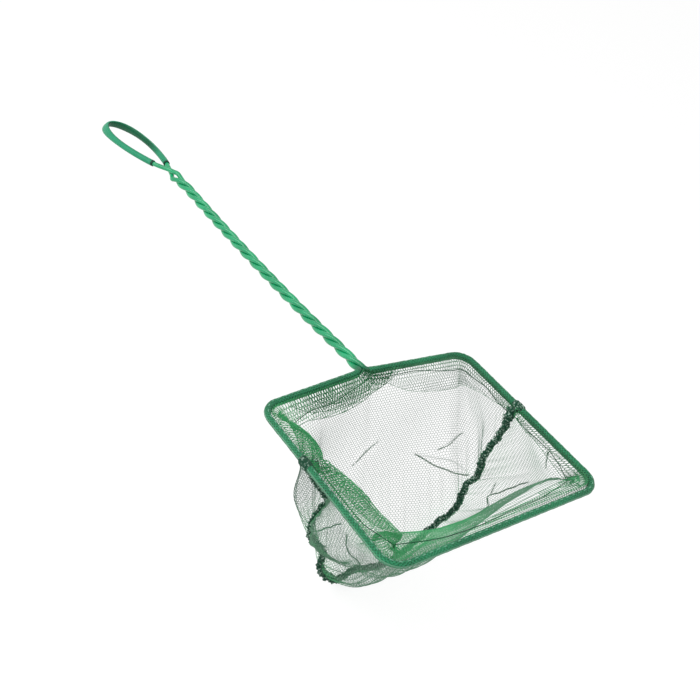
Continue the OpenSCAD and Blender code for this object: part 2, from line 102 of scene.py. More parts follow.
@dataclass(frozen=True)
class Sizes:
    """The part's driving sizes in millimetres, the same numbers as in its source."""

    hoop_w: float = 150.0
    hoop_l: float = 123.0
    shoulder: float = 6.6
    corner_r: float = 11.4
    joint_reach: float = 9.0
    core_d: float = 2.3
    coat_t: float = 0.4
    twist_l: float = 232.5
    twist_pitch: float = 37.3
    start_turn: float = 38.0
    twist_rise: float = 2.0
    strand_gap: float = 0.2
    eye_open: float = 0.65
    eye_back: float = 4.6
    third_back: float = 3.0
    handle_droop: float = 3.4
    handle_bow: float = 2.8
    handle_lean: float = 2.4
    handle_kick: float = 1.6
    loop_l: float = 75.0
    loop_w: float = 21.4
    loop_lean: float = 13.5
    tube_flat_w: float = 7.0
    tube_flat_t: float = 2.4
    tube_wall: float = 0.55
    tube_fit: float = 0.15
    stub_left: float = 15.0
    stub_right: float = 13.0
    stub_grip: float = 9.0
    bag_d: float = 116.5
    seam_y: float = 12.0
    seam_skew: float = 3.5
    hem_t: float = 0.35
    hem_play: float = 0.05
    seam_d: float = 3.8
    fold_in: float = 20.0
    belly_out: float = 9.0
    soft_gap: float = 0.1
    tack_l: float = 8.0
    tack_t: float = 0.6
    stitch_l: float = 2.2
    thread_d: float = 0.5
    stitch_pitch: float = 4.6
    seam_stitch_pitch: float = 7.0
    hem_bend_share: float = 0.5
    teardrop_share: float = 0.77
    level_share: float = 0.125
    lean_share: float = 0.03
    settle_share: float = 0.32
    eye_share: float = 0.6
    kick_share: float = 0.1
    round_share: float = 0.17
    pressed_share: float = 0.42

    @property
    def half_w(self) -> float:
        """Half the mouth's width."""
        return self.hoop_w / 2

    @property
    def half_l(self) -> float:
        """Half the mouth's length."""
        return self.hoop_l / 2

    @property
    def coat_r(self) -> float:
        """Radius of the coated wire."""
        return self.core_d / 2 + self.coat_t

    @property
    def hem_in_r(self) -> float:
        """Inner radius of the hem."""
        return self.coat_r + self.hem_play

    @property
    def hem_r(self) -> float:
        """Outer radius of the hem."""
        return self.hem_in_r + self.hem_t

    @property
    def tack_r(self) -> float:
        """Outer radius of a bar tack."""
        return self.hem_r + self.soft_gap + self.tack_t

    @property
    def seam_r(self) -> float:
        """Radius of the rolled seam."""
        return self.seam_d / 2

    @property
    def lean(self) -> float:
        """Slope of the handle side, in radians."""
        return math.atan2(self.shoulder, self.half_w)

    @property
    def apex_y(self) -> float:
        """Where the handle side's two lines meet."""
        return self.half_l + self.shoulder

    @property
    def twist_y(self) -> float:
        """Where the twist begins."""
        return self.apex_y + self.twist_rise

    @property
    def cross_y(self) -> float:
        """Where the strands cross under the hanging loop."""
        return self.twist_y + self.twist_l

    @property
    def pair_r(self) -> float:
        """Half the distance between two strands that touch."""
        return self.coat_r + self.strand_gap / 2

    @property
    def third_l(self) -> float:
        """Length of the third strand, along the handle."""
        return self.twist_l - self.eye_back - self.third_back

    @property
    def lag(self) -> float:
        """Degrees added to the last turns, so that the strands end one over the other."""
        turned = self.start_turn + 360 * self.twist_l / self.twist_pitch
        return 90 + 360 * round((turned - 90) / 360) - turned

    @property
    def loop_h(self) -> float:
        """Factor of the teardrop curve across the handle."""
        return self.loop_w / 2 / self.teardrop_share

    @property
    def tube_r(self) -> float:
        """Outer radius of the soft tube where it is round."""
        return self.coat_r + self.tube_fit + self.tube_wall

    @property
    def shift(self) -> Array:
        """Move from the hoop's frame to the row's frame."""
        loop_end = self.cross_y + self.loop_l + self.tube_flat_t / 2
        return np.array([0.0, (self.half_l + self.hem_r - loop_end) / 2, self.bag_d + self.seam_r])


NET = Sizes()

# Shares of the bag's half width and depth along the seam, from the left tack to the right one
SEAM_SHARES = np.array([
    [-1, 0], [-0.95, 0.08], [-0.86, 0.17], [-0.77, 0.25], [-0.745, 0.3], [-0.785, 0.34],
    [-0.82, 0.385], [-0.83, 0.45], [-0.81, 0.52], [-0.765, 0.58], [-0.685, 0.63], [-0.615, 0.7],
    [-0.59, 0.745], [-0.597, 0.79], [-0.574, 0.845], [-0.5, 0.915], [-0.39, 0.98], [-0.305, 1],
    [-0.26, 0.98], [-0.21, 0.96], [-0.135, 0.965], [-0.01, 0.99], [0.1, 1], [0.2, 1], [0.32, 0.96],
    [0.44, 0.9], [0.54, 0.84], [0.605, 0.8], [0.66, 0.77], [0.755, 0.735], [0.815, 0.695],
    [0.822, 0.62], [0.82, 0.545], [0.845, 0.495], [0.915, 0.47], [0.917, 0.41], [0.892, 0.335],
    [0.906, 0.27], [0.947, 0.21], [0.99, 0.145], [1, 0.07], [1, 0]])


@dataclass(frozen=True)
class Drape:
    """How a panel hangs along its rim: how far it folds in, that fold's depth, and its belly."""

    fold: Table
    depth: Table
    belly: Table


DRAPES = {
    Half.BACK: Drape(
        fold=((0, 0.5), (0.06, 0.8), (0.2, 0.85), (0.3, 0.4), (0.5, 0.3), (0.8, 0.25), (1, 0)),
        depth=((0, 0.2), (0.2, 0.3), (0.35, 0.14), (1, 0.14)),
        belly=((0, 0.1), (0.05, 0.3), (0.12, 0.4), (0.2, 0.75), (0.3, 0.6), (0.4, 0.2), (0.5, 0), (1, 0))),
    Half.FRONT: Drape(
        fold=((0, 0.5), (0.08, 0.78), (0.15, 0.92), (0.23, 1.25), (0.31, 0.95), (0.4, 0.65), (0.5, 0.52),
              (0.58, 0.68), (0.665, 0.82), (0.75, 0.7), (0.82, 0.5), (0.9, 0.3), (1, 0)),
        depth=((0, 0.2), (0.1, 0.14), (1, 0.14)),
        belly=((0, 0), (0.1, 0.2), (0.3, 0.95), (0.42, 1.2), (0.55, 1.0), (0.7, 0.2), (1, 0)))}


def unit(v: Array) -> Array:
    """Vectors scaled to length 1 along the last axis."""
    return v / np.maximum(np.linalg.norm(v, axis=-1, keepdims=True), 1e-9)


def ease(x: Array) -> Array:
    """Smooth step from 0 to 1 over 0 to 1: 3u^2 - 2u^3."""
    u = np.clip(x, 0.0, 1.0)
    return u * u * (3 - 2 * u)


def bell(x: Array, width: float) -> Array:
    """A bell of height 1 about zero: exp(-(x / width)^2)."""
    return np.exp(-((x / width) ** 2))


def circle(sides: int) -> Array:
    """Even angles round a full turn, as one row."""
    return np.linspace(0.0, 2 * math.pi, sides, endpoint=False)[None]


@dataclass(frozen=True)
class Wave:
    """A wave on a surface: its height, how fast it runs along and turns round, and how its pace sways."""

    height: float
    rate: float
    turns: float = 0.0
    phase: float = 0.0
    sway: float = 0.0
    sway_rate: float = 0.0
    sway_phase: float = 0.0

    def at(self, run: Array, turn: Array | float = 0.0) -> Array:
        """Height times the sine of rate * run + turns * turn + phase + sway.

        Args:
            run: distances along.
            turn: angles or shares across.

        Returns:
            The wave, over both together. Its sway is sway * sin(sway rate * turn + sway phase).
        """
        sway = self.sway * np.sin(self.sway_rate * turn + self.sway_phase)
        return self.height * np.sin(self.rate * run + self.turns * turn + self.phase + sway)


def summed(waves: Sequence[Wave], run: Array, turn: Array | float = 0.0) -> Array:
    """The sum of several waves."""
    return sum(wave.at(run, turn) for wave in waves)


def lengths(path: Array) -> Array:
    """Distance along a path at each of its points."""
    return np.concatenate([[0.0], np.cumsum(np.linalg.norm(np.diff(path, axis=0), axis=1))])


def from_ends(run: Array) -> Array:
    """Distance to the nearer end of a path, from the distance along it."""
    return np.minimum(run, run[-1] - run)


def walk(path: Array, at: Array) -> Array:
    """Points of a path at distances from its start.

    Args:
        path: points of the path, one row each.
        at: distances along it.

    Returns:
        One point for each distance, on the straight stretches between the path's points.
    """
    run = lengths(path)
    return np.stack([np.interp(at, run, path[:, k]) for k in range(3)], axis=-1)


def resampled(path: Array, count: int) -> Array:
    """The path again with count equal steps."""
    return walk(path, np.linspace(0.0, lengths(path)[-1], count + 1))


def softened(values: Array, reach: int) -> Array:
    """Rows averaged with a bell-shaped weight over reach neighbours, with the ends kept.

    Args:
        values: rows to average, along axis 0.
        reach: half width of the bell, in rows.

    Returns:
        The averaged rows: the sum of neighbours times exp(-(k/reach)^2), over its total.
    """
    k = np.arange(-2 * reach, 2 * reach + 1)
    weight = np.exp(-((k / max(reach, 1)) ** 2))
    weight = weight / weight.sum()
    rows = values.reshape(len(values), -1)
    head = 2 * rows[:1] - rows[1:2 * reach + 1][::-1]
    tail = 2 * rows[-1:] - rows[-2 * reach - 1:-1][::-1]
    padded = np.vstack([head, rows, tail])
    out = np.stack([np.convolve(padded[:, c], weight, mode="valid") for c in range(rows.shape[1])], axis=1)
    return out.reshape(values.shape)


def smooth_table(at: Array, knots: Table, reach: int = 14) -> Array:
    """A table read at given shares, with its corners rounded off.

    Args:
        at: shares from 0 to 1.
        knots: pairs of share and value.
        reach: half width of the rounding, in steps of 1/400.

    Returns:
        The table's value at each share.
    """
    fine = np.linspace(0.0, 1.0, 401)
    return np.interp(at, fine, softened(np.interp(fine, *np.array(knots).T), reach))


def bilinear(grid: Array, t: Array, s: Array) -> Array:
    """Values of a grid between its nodes.

    Args:
        grid: rows by columns by channels, rows along s and columns along t.
        t: column shares from 0 to 1.
        s: row shares from 0 to 1.

    Returns:
        The weighted mean of the four nodes round each (t, s).
    """
    rows, cols = grid.shape[0] - 1, grid.shape[1] - 1
    v = np.clip(s, 0.0, 1.0) * rows
    u = np.clip(t, 0.0, 1.0) * cols
    j = np.minimum(v.astype(int), rows - 1)
    i = np.minimum(u.astype(int), cols - 1)
    fv = (v - j)[..., None]
    fu = (u - i)[..., None]
    top = grid[j, i] * (1 - fu) + grid[j, i + 1] * fu
    low = grid[j + 1, i] * (1 - fu) + grid[j + 1, i + 1] * fu
    return top * (1 - fv) + low * fv


@dataclass
class Shape:
    """A mesh before it is put into Blender: points in millimetres, faces, their UVs and values."""

    points: Array
    faces: Array
    uvs: Array
    values: dict[str, Array] = field(default_factory=dict)

    def outward(self) -> "Shape":
        """Turns the faces of a closed shape outwards, by the sign of its volume.

        The volume is a sixth of the sum of a . (b x c) over the triangles of all faces.

        Returns:
            This shape, or one with every face reversed.
        """
        p = self.points[self.faces]
        volume = np.einsum("ij,ij->i", p[:, 0], np.cross(p[:, 1], p[:, 2])).sum()
        volume += np.einsum("ij,ij->i", p[:, 0], np.cross(p[:, 2], p[:, 3])).sum()
        if volume < 0:
            return Shape(self.points, self.faces[:, ::-1], self.uvs[:, ::-1], self.values)
        return self

    @staticmethod
    def joined(shapes: Sequence["Shape"]) -> "Shape":
        """Several shapes as one.

        Args:
            shapes: what to join, in order.

        Returns:
            One shape, with each value that all of them carry.
        """
        start = np.cumsum([0] + [len(s.points) for s in shapes[:-1]])
        names = set.intersection(*[set(s.values) for s in shapes])
        return Shape(
            np.vstack([s.points for s in shapes]),
            np.vstack([s.faces + n for s, n in zip(shapes, start)]),
            np.vstack([s.uvs for s in shapes]),
            {n: np.concatenate([s.values[n] for s in shapes]) for n in sorted(names)})


def grid_shape(points: Array, along: Array, across: Array, values: dict[str, Array]) -> Shape:
    """Quads over a grid of points whose last column joins the first.

    Args:
        points: rows by columns by 3.
        along: V of each row.
        across: U of each column, and one more where the grid joins.
        values: named numbers, rows by columns.

    Returns:
        The shape, with faces row by row.
    """
    rows, cols = points.shape[:2]
    j, i = np.meshgrid(np.arange(rows - 1), np.arange(cols), indexing="ij")
    right = (i + 1) % cols
    faces = np.stack([j * cols + i, j * cols + right, (j + 1) * cols + right, (j + 1) * cols + i], axis=-1)
    u = np.stack([across[i], across[i + 1], across[i + 1], across[i]], axis=-1)
    v = np.stack([along[j], along[j], along[j + 1], along[j + 1]], axis=-1)
    return Shape(points.reshape(-1, 3), faces.reshape(-1, 4), np.stack([u, v], axis=-1).reshape(-1, 4, 2),
                 {n: a.reshape(-1) for n, a in values.items()})


def path_frame(path: Array, up: Array) -> tuple[Array, Array, Array]:
    """Directions along a path, across it in the plane square to up, and across that.

    Args:
        path: points of the path.
        up: one direction, or one for each point.

    Returns:
        Unit vectors: along, a = along x up, and b = a x along.
    """
    along = unit(np.gradient(path, axis=0))
    a = unit(np.cross(along, up))
    return along, a, unit(np.cross(a, along))


def carried(path: Array, up: Array, side: Array, rise: Array) -> Array:
    """A section carried along a path: point + side * a + rise * b.

    Args:
        path: points of the path.
        up: the direction that b stays close to.
        side: offset of each section point along a, rows by section points.
        rise: offset along b, rows by section points.

    Returns:
        Rows by section points by 3.
    """
    _, a, b = path_frame(path, up)
    return path[:, None] + side[..., None] * a[:, None] + rise[..., None] * b[:, None]


def rounded_bar(path: Array, up: Array, side: Array, rise: Array) -> Shape:
    """A solid sweep with its two ends drawn in to their middles.

    Args:
        path: points of the path.
        up: the direction that b stays close to.
        side: offsets along a, rows by section points.
        rise: offsets along b.

    Returns:
        A closed shape. Each end is a ring of the section shrunk to a point.
    """
    body = carried(path, up, side, rise)
    body = np.concatenate([np.repeat(path[:1, None], body.shape[1], axis=1), body,
                           np.repeat(path[-1:, None], body.shape[1], axis=1)])
    run = lengths(path)
    run = np.concatenate([run[:1], run, run[-1:]])
    girth = np.linspace(0.0, 2 * math.pi * float(np.abs(rise).max()), body.shape[1] + 1)
    return grid_shape(body, run, girth, {}).outward()


def walled_tube(path: Array, up: Array, outer: tuple[Array, Array], inner: tuple[Array, Array],
                values: dict[str, Array]) -> Shape:
    """A hollow sweep: out along the outer skin, over the end, back along the bore.

    Args:
        path: points of the path.
        up: the direction that b stays close to.
        outer: side and rise offsets of the outer skin.
        inner: side and rise offsets of the bore.
        values: named numbers of the outer skin, rows by section points.

    Returns:
        A closed shape. The bore takes the values of the skin outside it.
    """
    skin = carried(path, up, *outer)
    bore = carried(path, up, *inner)
    body = np.concatenate([skin, bore[::-1], skin[:1]])
    run = lengths(path)
    run = np.concatenate([run, run[::-1], run[:1]])
    girth = np.linspace(0.0, 2 * math.pi * float(np.abs(outer[1]).mean() * 1.5), body.shape[1] + 1)
    full = {n: np.concatenate([a, a[::-1], a[:1]]) for n, a in values.items()}
    return grid_shape(body, run, girth, full).outward()


def round_sleeve(path: Array, radius: Array, bore: float, values: dict[str, Array]) -> Shape:
    """A walled tube with a round bore: its skin is radius (cos k a + sin k b) from the path.

    Args:
        path: points of the path.
        radius: outer radius, rows by section points.
        bore: inner radius.
        values: named numbers of the outer skin, rows by section points.

    Returns:
        A closed shape.
    """
    c, s = np.cos(circle(radius.shape[1])), np.sin(circle(radius.shape[1]))
    inner = bore * np.ones_like(radius)
    return walled_tube(path, UP, (radius * c, radius * s), (inner * c, inner * s), values)


def linked(name: str, data: bpy.types.ID) -> Piece:
    """A new object in the scene, made of a mesh, a camera or a lamp.

    Args:
        name: its name.
        data: what it is made of.

    Returns:
        The object, at the origin, unturned and unscaled.
    """
    made = bpy.data.objects.new(name, data)
    bpy.context.scene.collection.objects.link(made)
    return made


def put(name: str, shape: Shape, finish: "Finish", nodes: Sequence[str], smooth: bool = True) -> Piece:
    """Makes a piece of a shape, dresses it, lets it ride on the part and stand for its solids.

    Args:
        name: the piece's name.
        shape: the shape in the hoop's frame, in millimetres.
        finish: what it is made of.
        nodes: the solids it stands for.
        smooth: whether its faces are shaded as one curved skin.

    Returns:
        The piece, in the row's frame and in metres.
    """
    mesh = bpy.data.meshes.new(name)
    points = ((shape.points + NET.shift) * MM).astype(np.float32)
    faces = shape.faces.astype(np.int32)
    mesh.vertices.add(len(points))
    mesh.vertices.foreach_set("co", points.ravel())
    mesh.loops.add(faces.size)
    mesh.loops.foreach_set("vertex_index", faces.ravel())
    mesh.polygons.add(len(faces))
    mesh.polygons.foreach_set("loop_start", np.arange(0, faces.size, 4, dtype=np.int32))
    mesh.polygons.foreach_set("use_smooth", np.full(len(faces), smooth))
    mesh.update(calc_edges=True)
    layer = mesh.uv_layers.new(name="UVMap")
    layer.data.foreach_set("uv", shape.uvs.astype(np.float32).ravel())
    for label, numbers in shape.values.items():
        attribute = mesh.attributes.new(label, "FLOAT", "POINT")
        attribute.data.foreach_set("value", numbers.astype(np.float32))
    mesh.validate(clean_customdata=False)
    piece = linked(name, mesh)
    mesh.materials.append(finish.material())
    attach(piece, "root")
    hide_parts(*nodes)
    log.info("%s: %d points, %d faces, stands for %s", name, len(mesh.vertices), len(mesh.polygons),
             ", ".join(nodes))
    return piece


def linear(colour: Colour) -> tuple[float, ...]:
    """A screen colour from 0 to 255 as the linear colour that a shader takes, by the sRGB curve.

    Args:
        colour: red, green and blue.

    Returns:
        Red, green, blue and a full alpha, from 0 to 1.
    """
    parts = [c / 255 for c in colour]
    straight = [c / 12.92 if c <= 0.04045 else ((c + 0.055) / 1.055) ** 2.4 for c in parts]
    return *straight, 1.0


class Graph:
    """A short way to write node trees: nodes are made and linked by name."""

    def __init__(self, tree: bpy.types.NodeTree) -> None:
        """Keeps the tree that nodes go into."""
        self.tree = tree

    @classmethod
    def of(cls, owner: bpy.types.Material | bpy.types.World) -> "Graph":
        """The graph of a new material or world, emptied.

        Args:
            owner: the material or world.

        Returns:
            Its graph.
        """
        owner.use_nodes = True
        owner.node_tree.nodes.clear()
        return cls(owner.node_tree)

    def add(self, kind: str, inputs: dict[str | int, object] | None = None, **settings: object
            ) -> bpy.types.Node:
        """Adds a node.

        Args:
            kind: the node's type name.
            inputs: socket name or number to a value, or to a socket that feeds it.
            settings: properties of the node.

        Returns:
            The node.
        """
        node = self.tree.nodes.new(kind)
        for label, value in settings.items():
            setattr(node, label, value)
        for socket, value in (inputs or {}).items():
            self.feed(node.inputs[socket], value)
        return node

    def feed(self, socket: Socket, value: object) -> None:
        """Feeds an input.

        Args:
            socket: the input.
            value: a socket to link to it, or a plain value.
        """
        if isinstance(value, Socket):
            self.tree.links.new(value, socket)
        else:
            socket.default_value = value

    def maths(self, operation: str, *terms: object, clamp: bool = False) -> Socket:
        """A Math node's result, from sockets or numbers."""
        return self.add("ShaderNodeMath", dict(enumerate(terms)), operation=operation,
                        use_clamp=clamp).outputs[0]

    def scaled(self, value: object, factor: float, start: float = 0.0, clamp: bool = False) -> Socket:
        """The value times the factor, plus the start."""
        return self.maths("MULTIPLY_ADD", value, factor, start, clamp=clamp)

    def between(self, share: object, low: float, high: float) -> Socket:
        """The number at a share of the way from low to high."""
        return self.scaled(share, high - low, low)

    def blend(self, share: object, first: object, second: object) -> Socket:
        """A mix of two colours by a share. Each is a socket or a screen colour."""
        ends = [linear(c) if isinstance(c, tuple) else c for c in (first, second)]
        return self.add("ShaderNodeMix", {0: share, 6: ends[0], 7: ends[1]}, data_type="RGBA").outputs[2]

    def attribute(self, name: str) -> Socket:
        """A number that the mesh carries at its points."""
        return self.add("ShaderNodeAttribute", attribute_name=name).outputs["Fac"]

    def place(self, kind: str = "Object") -> Socket:
        """Object coordinates, or the piece's own UV."""
        return self.add("ShaderNodeTexCoord").outputs[kind]

    def noise(self, vector: Socket, scale: float, detail: object) -> Socket:
        """Noise from 0 to 1 on a vector."""
        inputs = {"Vector": vector, "Scale": scale, "Detail": detail}
        return self.add("ShaderNodeTexNoise", inputs).outputs["Fac"]

    def lines(self, vector: Socket, stretch: tuple[float, float, float], detail: float) -> Socket:
        """Fine drawn lines from 0 to 1, on a vector stretched by its own factor along each axis."""
        return self.add("ShaderNodeGroup", {"Vector": vector, **dict(zip("XYZ", stretch)), "Detail": detail},
                        node_tree=lines_group()).outputs["Lines"]

    def drift(self, scale: float, contrast: float) -> Socket:
        """Slow colour drift on object coordinates, as a mask from 0 to 1."""
        return self.add("ShaderNodeGroup", {"Vector": self.place(), "Scale": scale, "Contrast": contrast},
                        node_tree=drift_group()).outputs["Mask"]

    def netting(self, pitch: float, slant: float, width: float) -> Socket:
        """Pressed netting on the piece's own UV: 1 on a yarn's crown, 0 in a hole."""
        return self.add("ShaderNodeGroup", {"Vector": self.place("UV"), "Pitch": pitch, "Slant": slant,
                                            "Width": width}, node_tree=netting_group()).outputs["Yarn"]

    def bump(self, height: Socket, strength: float, distance: float) -> Socket:
        """Normal from a height, with the distance in millimetres."""
        return self.add("ShaderNodeBump", {"Height": height, "Strength": strength,
                                           "Distance": distance * MM}).outputs["Normal"]


def new_group(name: str, sizes: dict[str, float], result: str) -> tuple[Graph, bpy.types.Node]:
    """Starts a node group that takes a vector and numbers, and gives one number.

    Args:
        name: the group's name.
        sizes: its numbers, with the values that they start from.
        result: name of the number that it gives.

    Returns:
        The group's graph and its input node.
    """
    tree = bpy.data.node_groups.new(name, "ShaderNodeTree")
    tree.interface.new_socket("Vector", in_out="INPUT", socket_type="NodeSocketVector")
    for label, start in sizes.items():
        tree.interface.new_socket(label, in_out="INPUT", socket_type="NodeSocketFloat").default_value = start
    tree.interface.new_socket(result, in_out="OUTPUT", socket_type="NodeSocketFloat")
    g = Graph(tree)
    return g, g.add("NodeGroupInput")


def drift_group() -> bpy.types.NodeTree:
    """Node group of slow colour drift, made once: noise on a vector, spread round a half.

    Returns:
        The group. Its mask is contrast * (noise - 0.5) + 0.5, kept from 0 to 1.
    """
    found = bpy.data.node_groups.get("colour_drift")
    if found:
        return found
    g, enter = new_group("colour_drift", {"Scale": 60.0, "Contrast": 2.0}, "Mask")
    noise = g.add("ShaderNodeTexNoise", {"Vector": enter.outputs["Vector"], "Scale": enter.outputs["Scale"],
                                         "Detail": 3.0, "Roughness": 0.55})
    centred = g.maths("SUBTRACT", noise.outputs["Fac"], 0.5)
    mask = g.maths("MULTIPLY_ADD", centred, enter.outputs["Contrast"], 0.5, clamp=True)
    g.add("NodeGroupOutput", {"Mask": mask})
    return g.tree


def lines_group() -> bpy.types.NodeTree:
    """Node group of fine drawn lines, made once: noise on a vector times a factor along each axis.

    Returns:
        The group. Its lines are the noise, from 0 to 1.
    """
    found = bpy.data.node_groups.get("drawn_lines")
    if found:
        return found
    g, enter = new_group("drawn_lines", {"X": 1.0, "Y": 1.0, "Z": 1.0, "Detail": 2.0}, "Lines")
    factors = g.add("ShaderNodeCombineXYZ", {axis: enter.outputs[axis] for axis in "XYZ"}).outputs[0]
    stretched = g.add("ShaderNodeVectorMath", {0: enter.outputs["Vector"], 1: factors}, operation="MULTIPLY")
    g.add("NodeGroupOutput", {"Lines": g.noise(stretched.outputs[0], 1.0, enter.outputs["Detail"])})
    return g.tree


def netting_group() -> bpy.types.NodeTree:
    """Node group of fine netting pressed flat, made once: diamonds of yarn on a UV in millimetres.

    Returns:
        The group. Its yarn is the larger of two slanted ridges, 1 - |sin(pi (u +- v) / pitch)|
        over the width, kept from 0 to 1, so the holes between the yarns lie low.
    """
    found = bpy.data.node_groups.get("pressed_netting")
    if found:
        return found
    g, enter = new_group("pressed_netting", {"Pitch": 1.0, "Slant": 1.0, "Width": 0.3}, "Yarn")
    split = g.add("ShaderNodeSeparateXYZ", {0: enter.outputs["Vector"]})
    wobble = g.maths("SUBTRACT", g.noise(enter.outputs["Vector"], 0.5, 1.0), 0.5)
    u = g.maths("MULTIPLY_ADD", wobble, 1.6, split.outputs[0])
    v = g.maths("MULTIPLY", split.outputs[1], enter.outputs["Slant"])
    ridges = []
    for operation in ("ADD", "SUBTRACT"):
        phase = g.maths("DIVIDE", g.maths(operation, u, v), enter.outputs["Pitch"])
        wave = g.maths("ABSOLUTE", g.maths("SINE", g.scaled(phase, math.pi)))
        ridges.append(g.maths("SUBTRACT", 1.0, g.maths("DIVIDE", wave, enter.outputs["Width"]), clamp=True))
    g.add("NodeGroupOutput", {"Yarn": g.maths("MAXIMUM", *ridges)})
    return g.tree


@dataclass(frozen=True)
class Finish:
    """What a piece is made of. Each finish has its colours, and nodes that feed one Principled shader."""

    slot: str
    name: str

    def material(self) -> bpy.types.Material:
        """The finish's material, made once and shared by its pieces.

        Returns:
            The material.
        """
        found = bpy.data.materials.get(self.name)
        if found:
            return found
        made = bpy.data.materials.new(self.name)
        g = Graph.of(made)
        shader = g.add("ShaderNodeBsdfPrincipled")
        g.add("ShaderNodeOutputMaterial", {0: shader.outputs[0]})
        for label, value in self.looks(g).items():
            g.feed(shader.inputs[label], value)
        return made

    def looks(self, g: Graph) -> dict[str, object]:
        """What goes into the shader, by the socket's name: sockets or plain values."""
        raise NotImplementedError


@dataclass(frozen=True)
class VinylCoat(Finish):
    """Glossy green vinyl drawn over wire, with faint scuffs."""

    slot: str = "vinyl_coat"
    name: str = "green_vinyl_coat"
    deep: Colour = (14, 152, 98)
    light: Colour = (38, 186, 126)
    by_hoop: Colour = (10, 96, 62)

    def looks(self, g: Graph) -> dict[str, object]:
        """Two close greens, darker by the hoop, a roughness that drifts, and a very fine ripple.

        Args:
            g: the material's graph.

        Returns:
            The shader's sockets.
        """
        colour = g.blend(g.drift(90.0, 2.2), self.deep, self.light)
        return {"Base Color": g.blend(g.attribute("near_hoop"), colour, self.by_hoop),
                "Roughness": g.between(g.drift(700.0, 1.6), 0.2, 0.34), "Specular IOR Level": 0.35,
                "Coat Weight": 0.3, "Coat Roughness": 0.12,
                "Normal": g.bump(g.noise(g.place(), 900.0, 2.0), 0.25, 0.06)}


@dataclass(frozen=True)
class SoftTube(Finish):
    """Soft satin vinyl tube. Its pressed inner face is darkened with painted shade, its cut ends with a
    painted shadow, and its bend is lightened with a painted highlight.
    """

    slot: str = "vinyl_tube"
    name: str = "soft_vinyl_tube"
    deep: Colour = (36, 148, 106)
    light: Colour = (56, 166, 124)
    # Painted highlight round the far end of the bend
    bend_highlight: Colour = (94, 184, 152)
    # Painted shade on the pressed inner face
    deep_inner_shade: Colour = (2, 82, 52)
    light_inner_shade: Colour = (6, 106, 70)
    # Painted shadow at the cut rims
    rim_shadow: Colour = (6, 60, 42)

    def looks(self, g: Graph) -> dict[str, object]:
        """Light green outside, with painted shade on the inner face, a painted shadow at the cut rims and a
        painted highlight at the bend.

        Args:
            g: the material's graph.

        Returns:
            The shader's sockets.
        """
        tone = g.drift(120.0, 1.6)
        # Painted highlight: paler green round the far end of the bend
        outside = g.blend(g.attribute("stretched"), g.blend(tone, self.deep, self.light), self.bend_highlight)
        # Painted shade: darker greens for the pressed inner face
        inside = g.blend(tone, self.deep_inner_shade, self.light_inner_shade)
        colour = g.blend(g.attribute("inner_face"), outside, inside)
        lines = g.lines(g.place("UV"), (6.0, 0.25, 1.0), 2.0)
        # Painted shadow: a dark ring at the cut rims, for the shaded gap at each end of the tube
        return {"Base Color": g.blend(g.attribute("cut_rim"), colour, self.rim_shadow),
                "Roughness": g.between(lines, 0.32, 0.52), "Specular IOR Level": 0.2,
                "Coat Weight": 0.06, "Coat Roughness": 0.3, "Normal": g.bump(lines, 0.25, 0.12)}


@dataclass(frozen=True)
class NettingYarn(Finish):
    """Thin green nylon yarn of the netting."""

    slot: str = "netting"
    name: str = "netting_yarn"
    deep: Colour = (88, 118, 102)
    light: Colour = (112, 140, 124)
    deep_bunched: Colour = (56, 156, 96)
    light_bunched: Colour = (88, 186, 124)
    # Painted shade on folded and creased yarns
    fold_shade: Colour = (14, 70, 46)

    def looks(self, g: Graph) -> dict[str, object]:
        """Grey green where one layer hangs open, bright green where layers bunch, and painted shade on the
        yarns of creases, folds and the layers' lower edges.

        Args:
            g: the material's graph.

        Returns:
            The shader's sockets.
        """
        tone = g.drift(70.0, 2.4)
        colour = g.blend(g.attribute("bunched"), g.blend(tone, self.deep, self.light),
                         g.blend(tone, self.deep_bunched, self.light_bunched))
        # Painted shade: the darker yarns of creases, folds and pleats
        return {"Base Color": g.blend(g.attribute("dark"), colour, self.fold_shade),
                "Roughness": g.between(tone, 0.42, 0.57), "Specular IOR Level": 0.2, "Sheen Weight": 0.08,
                "Normal": g.bump(g.noise(g.place(), 4000.0, 1.0), 0.3, 0.03)}


@dataclass(frozen=True)
class HemCloth(Finish):
    """Netting folded over the wire: yarns over the green of the coat under them, darkened with painted
    shade.
    """

    slot: str = "hem"
    name: str = "folded_netting_hem"
    deep: Colour = (4, 72, 44)
    light: Colour = (12, 108, 66)
    deep_yarn: Colour = (44, 166, 110)
    light_yarn: Colour = (78, 196, 140)
    # Painted highlights: pale dots along the stitching, and their spacing
    glint: Colour = (196, 238, 214)
    stitch_pitch: float = 2.3

    def looks(self, g: Graph) -> dict[str, object]:
        """Two layers of pressed netting over greens that drift along the hem, darkened with painted shade,
        and a row of painted highlights as pale dots along the stitching.

        Args:
            g: the material's graph.

        Returns:
            The shader's sockets.
        """
        upper, under = g.netting(1.9, 0.9, 0.5), g.netting(2.4, 1.25, 0.45)
        tone = g.drift(45.0, 2.4)
        yarn = g.blend(tone, self.deep_yarn, self.light_yarn)
        # The coat's green between the yarns, darkened as painted shade under the netting
        colour = g.blend(g.scaled(under, 0.5), g.blend(tone, self.deep, self.light), yarn)
        colour = g.blend(g.scaled(upper, 0.62), colour, yarn)
        # Painted highlights: pale dots in a row along the stitching
        along = g.add("ShaderNodeSeparateXYZ", {0: g.place("UV")}).outputs[0]
        beat = g.maths("SINE", g.scaled(along, 2 * math.pi / self.stitch_pitch))
        dots = g.maths("MULTIPLY", g.scaled(beat, 2.4, -1.0, clamp=True), g.attribute("stitch_row"))
        height = g.maths("MULTIPLY_ADD", under, 0.6, upper)
        return {"Base Color": g.blend(dots, colour, self.glint), "Roughness": g.between(tone, 0.46, 0.58),
                "Specular IOR Level": 0.3, "Sheen Weight": 0.12, "Normal": g.bump(height, 0.55, 0.16)}


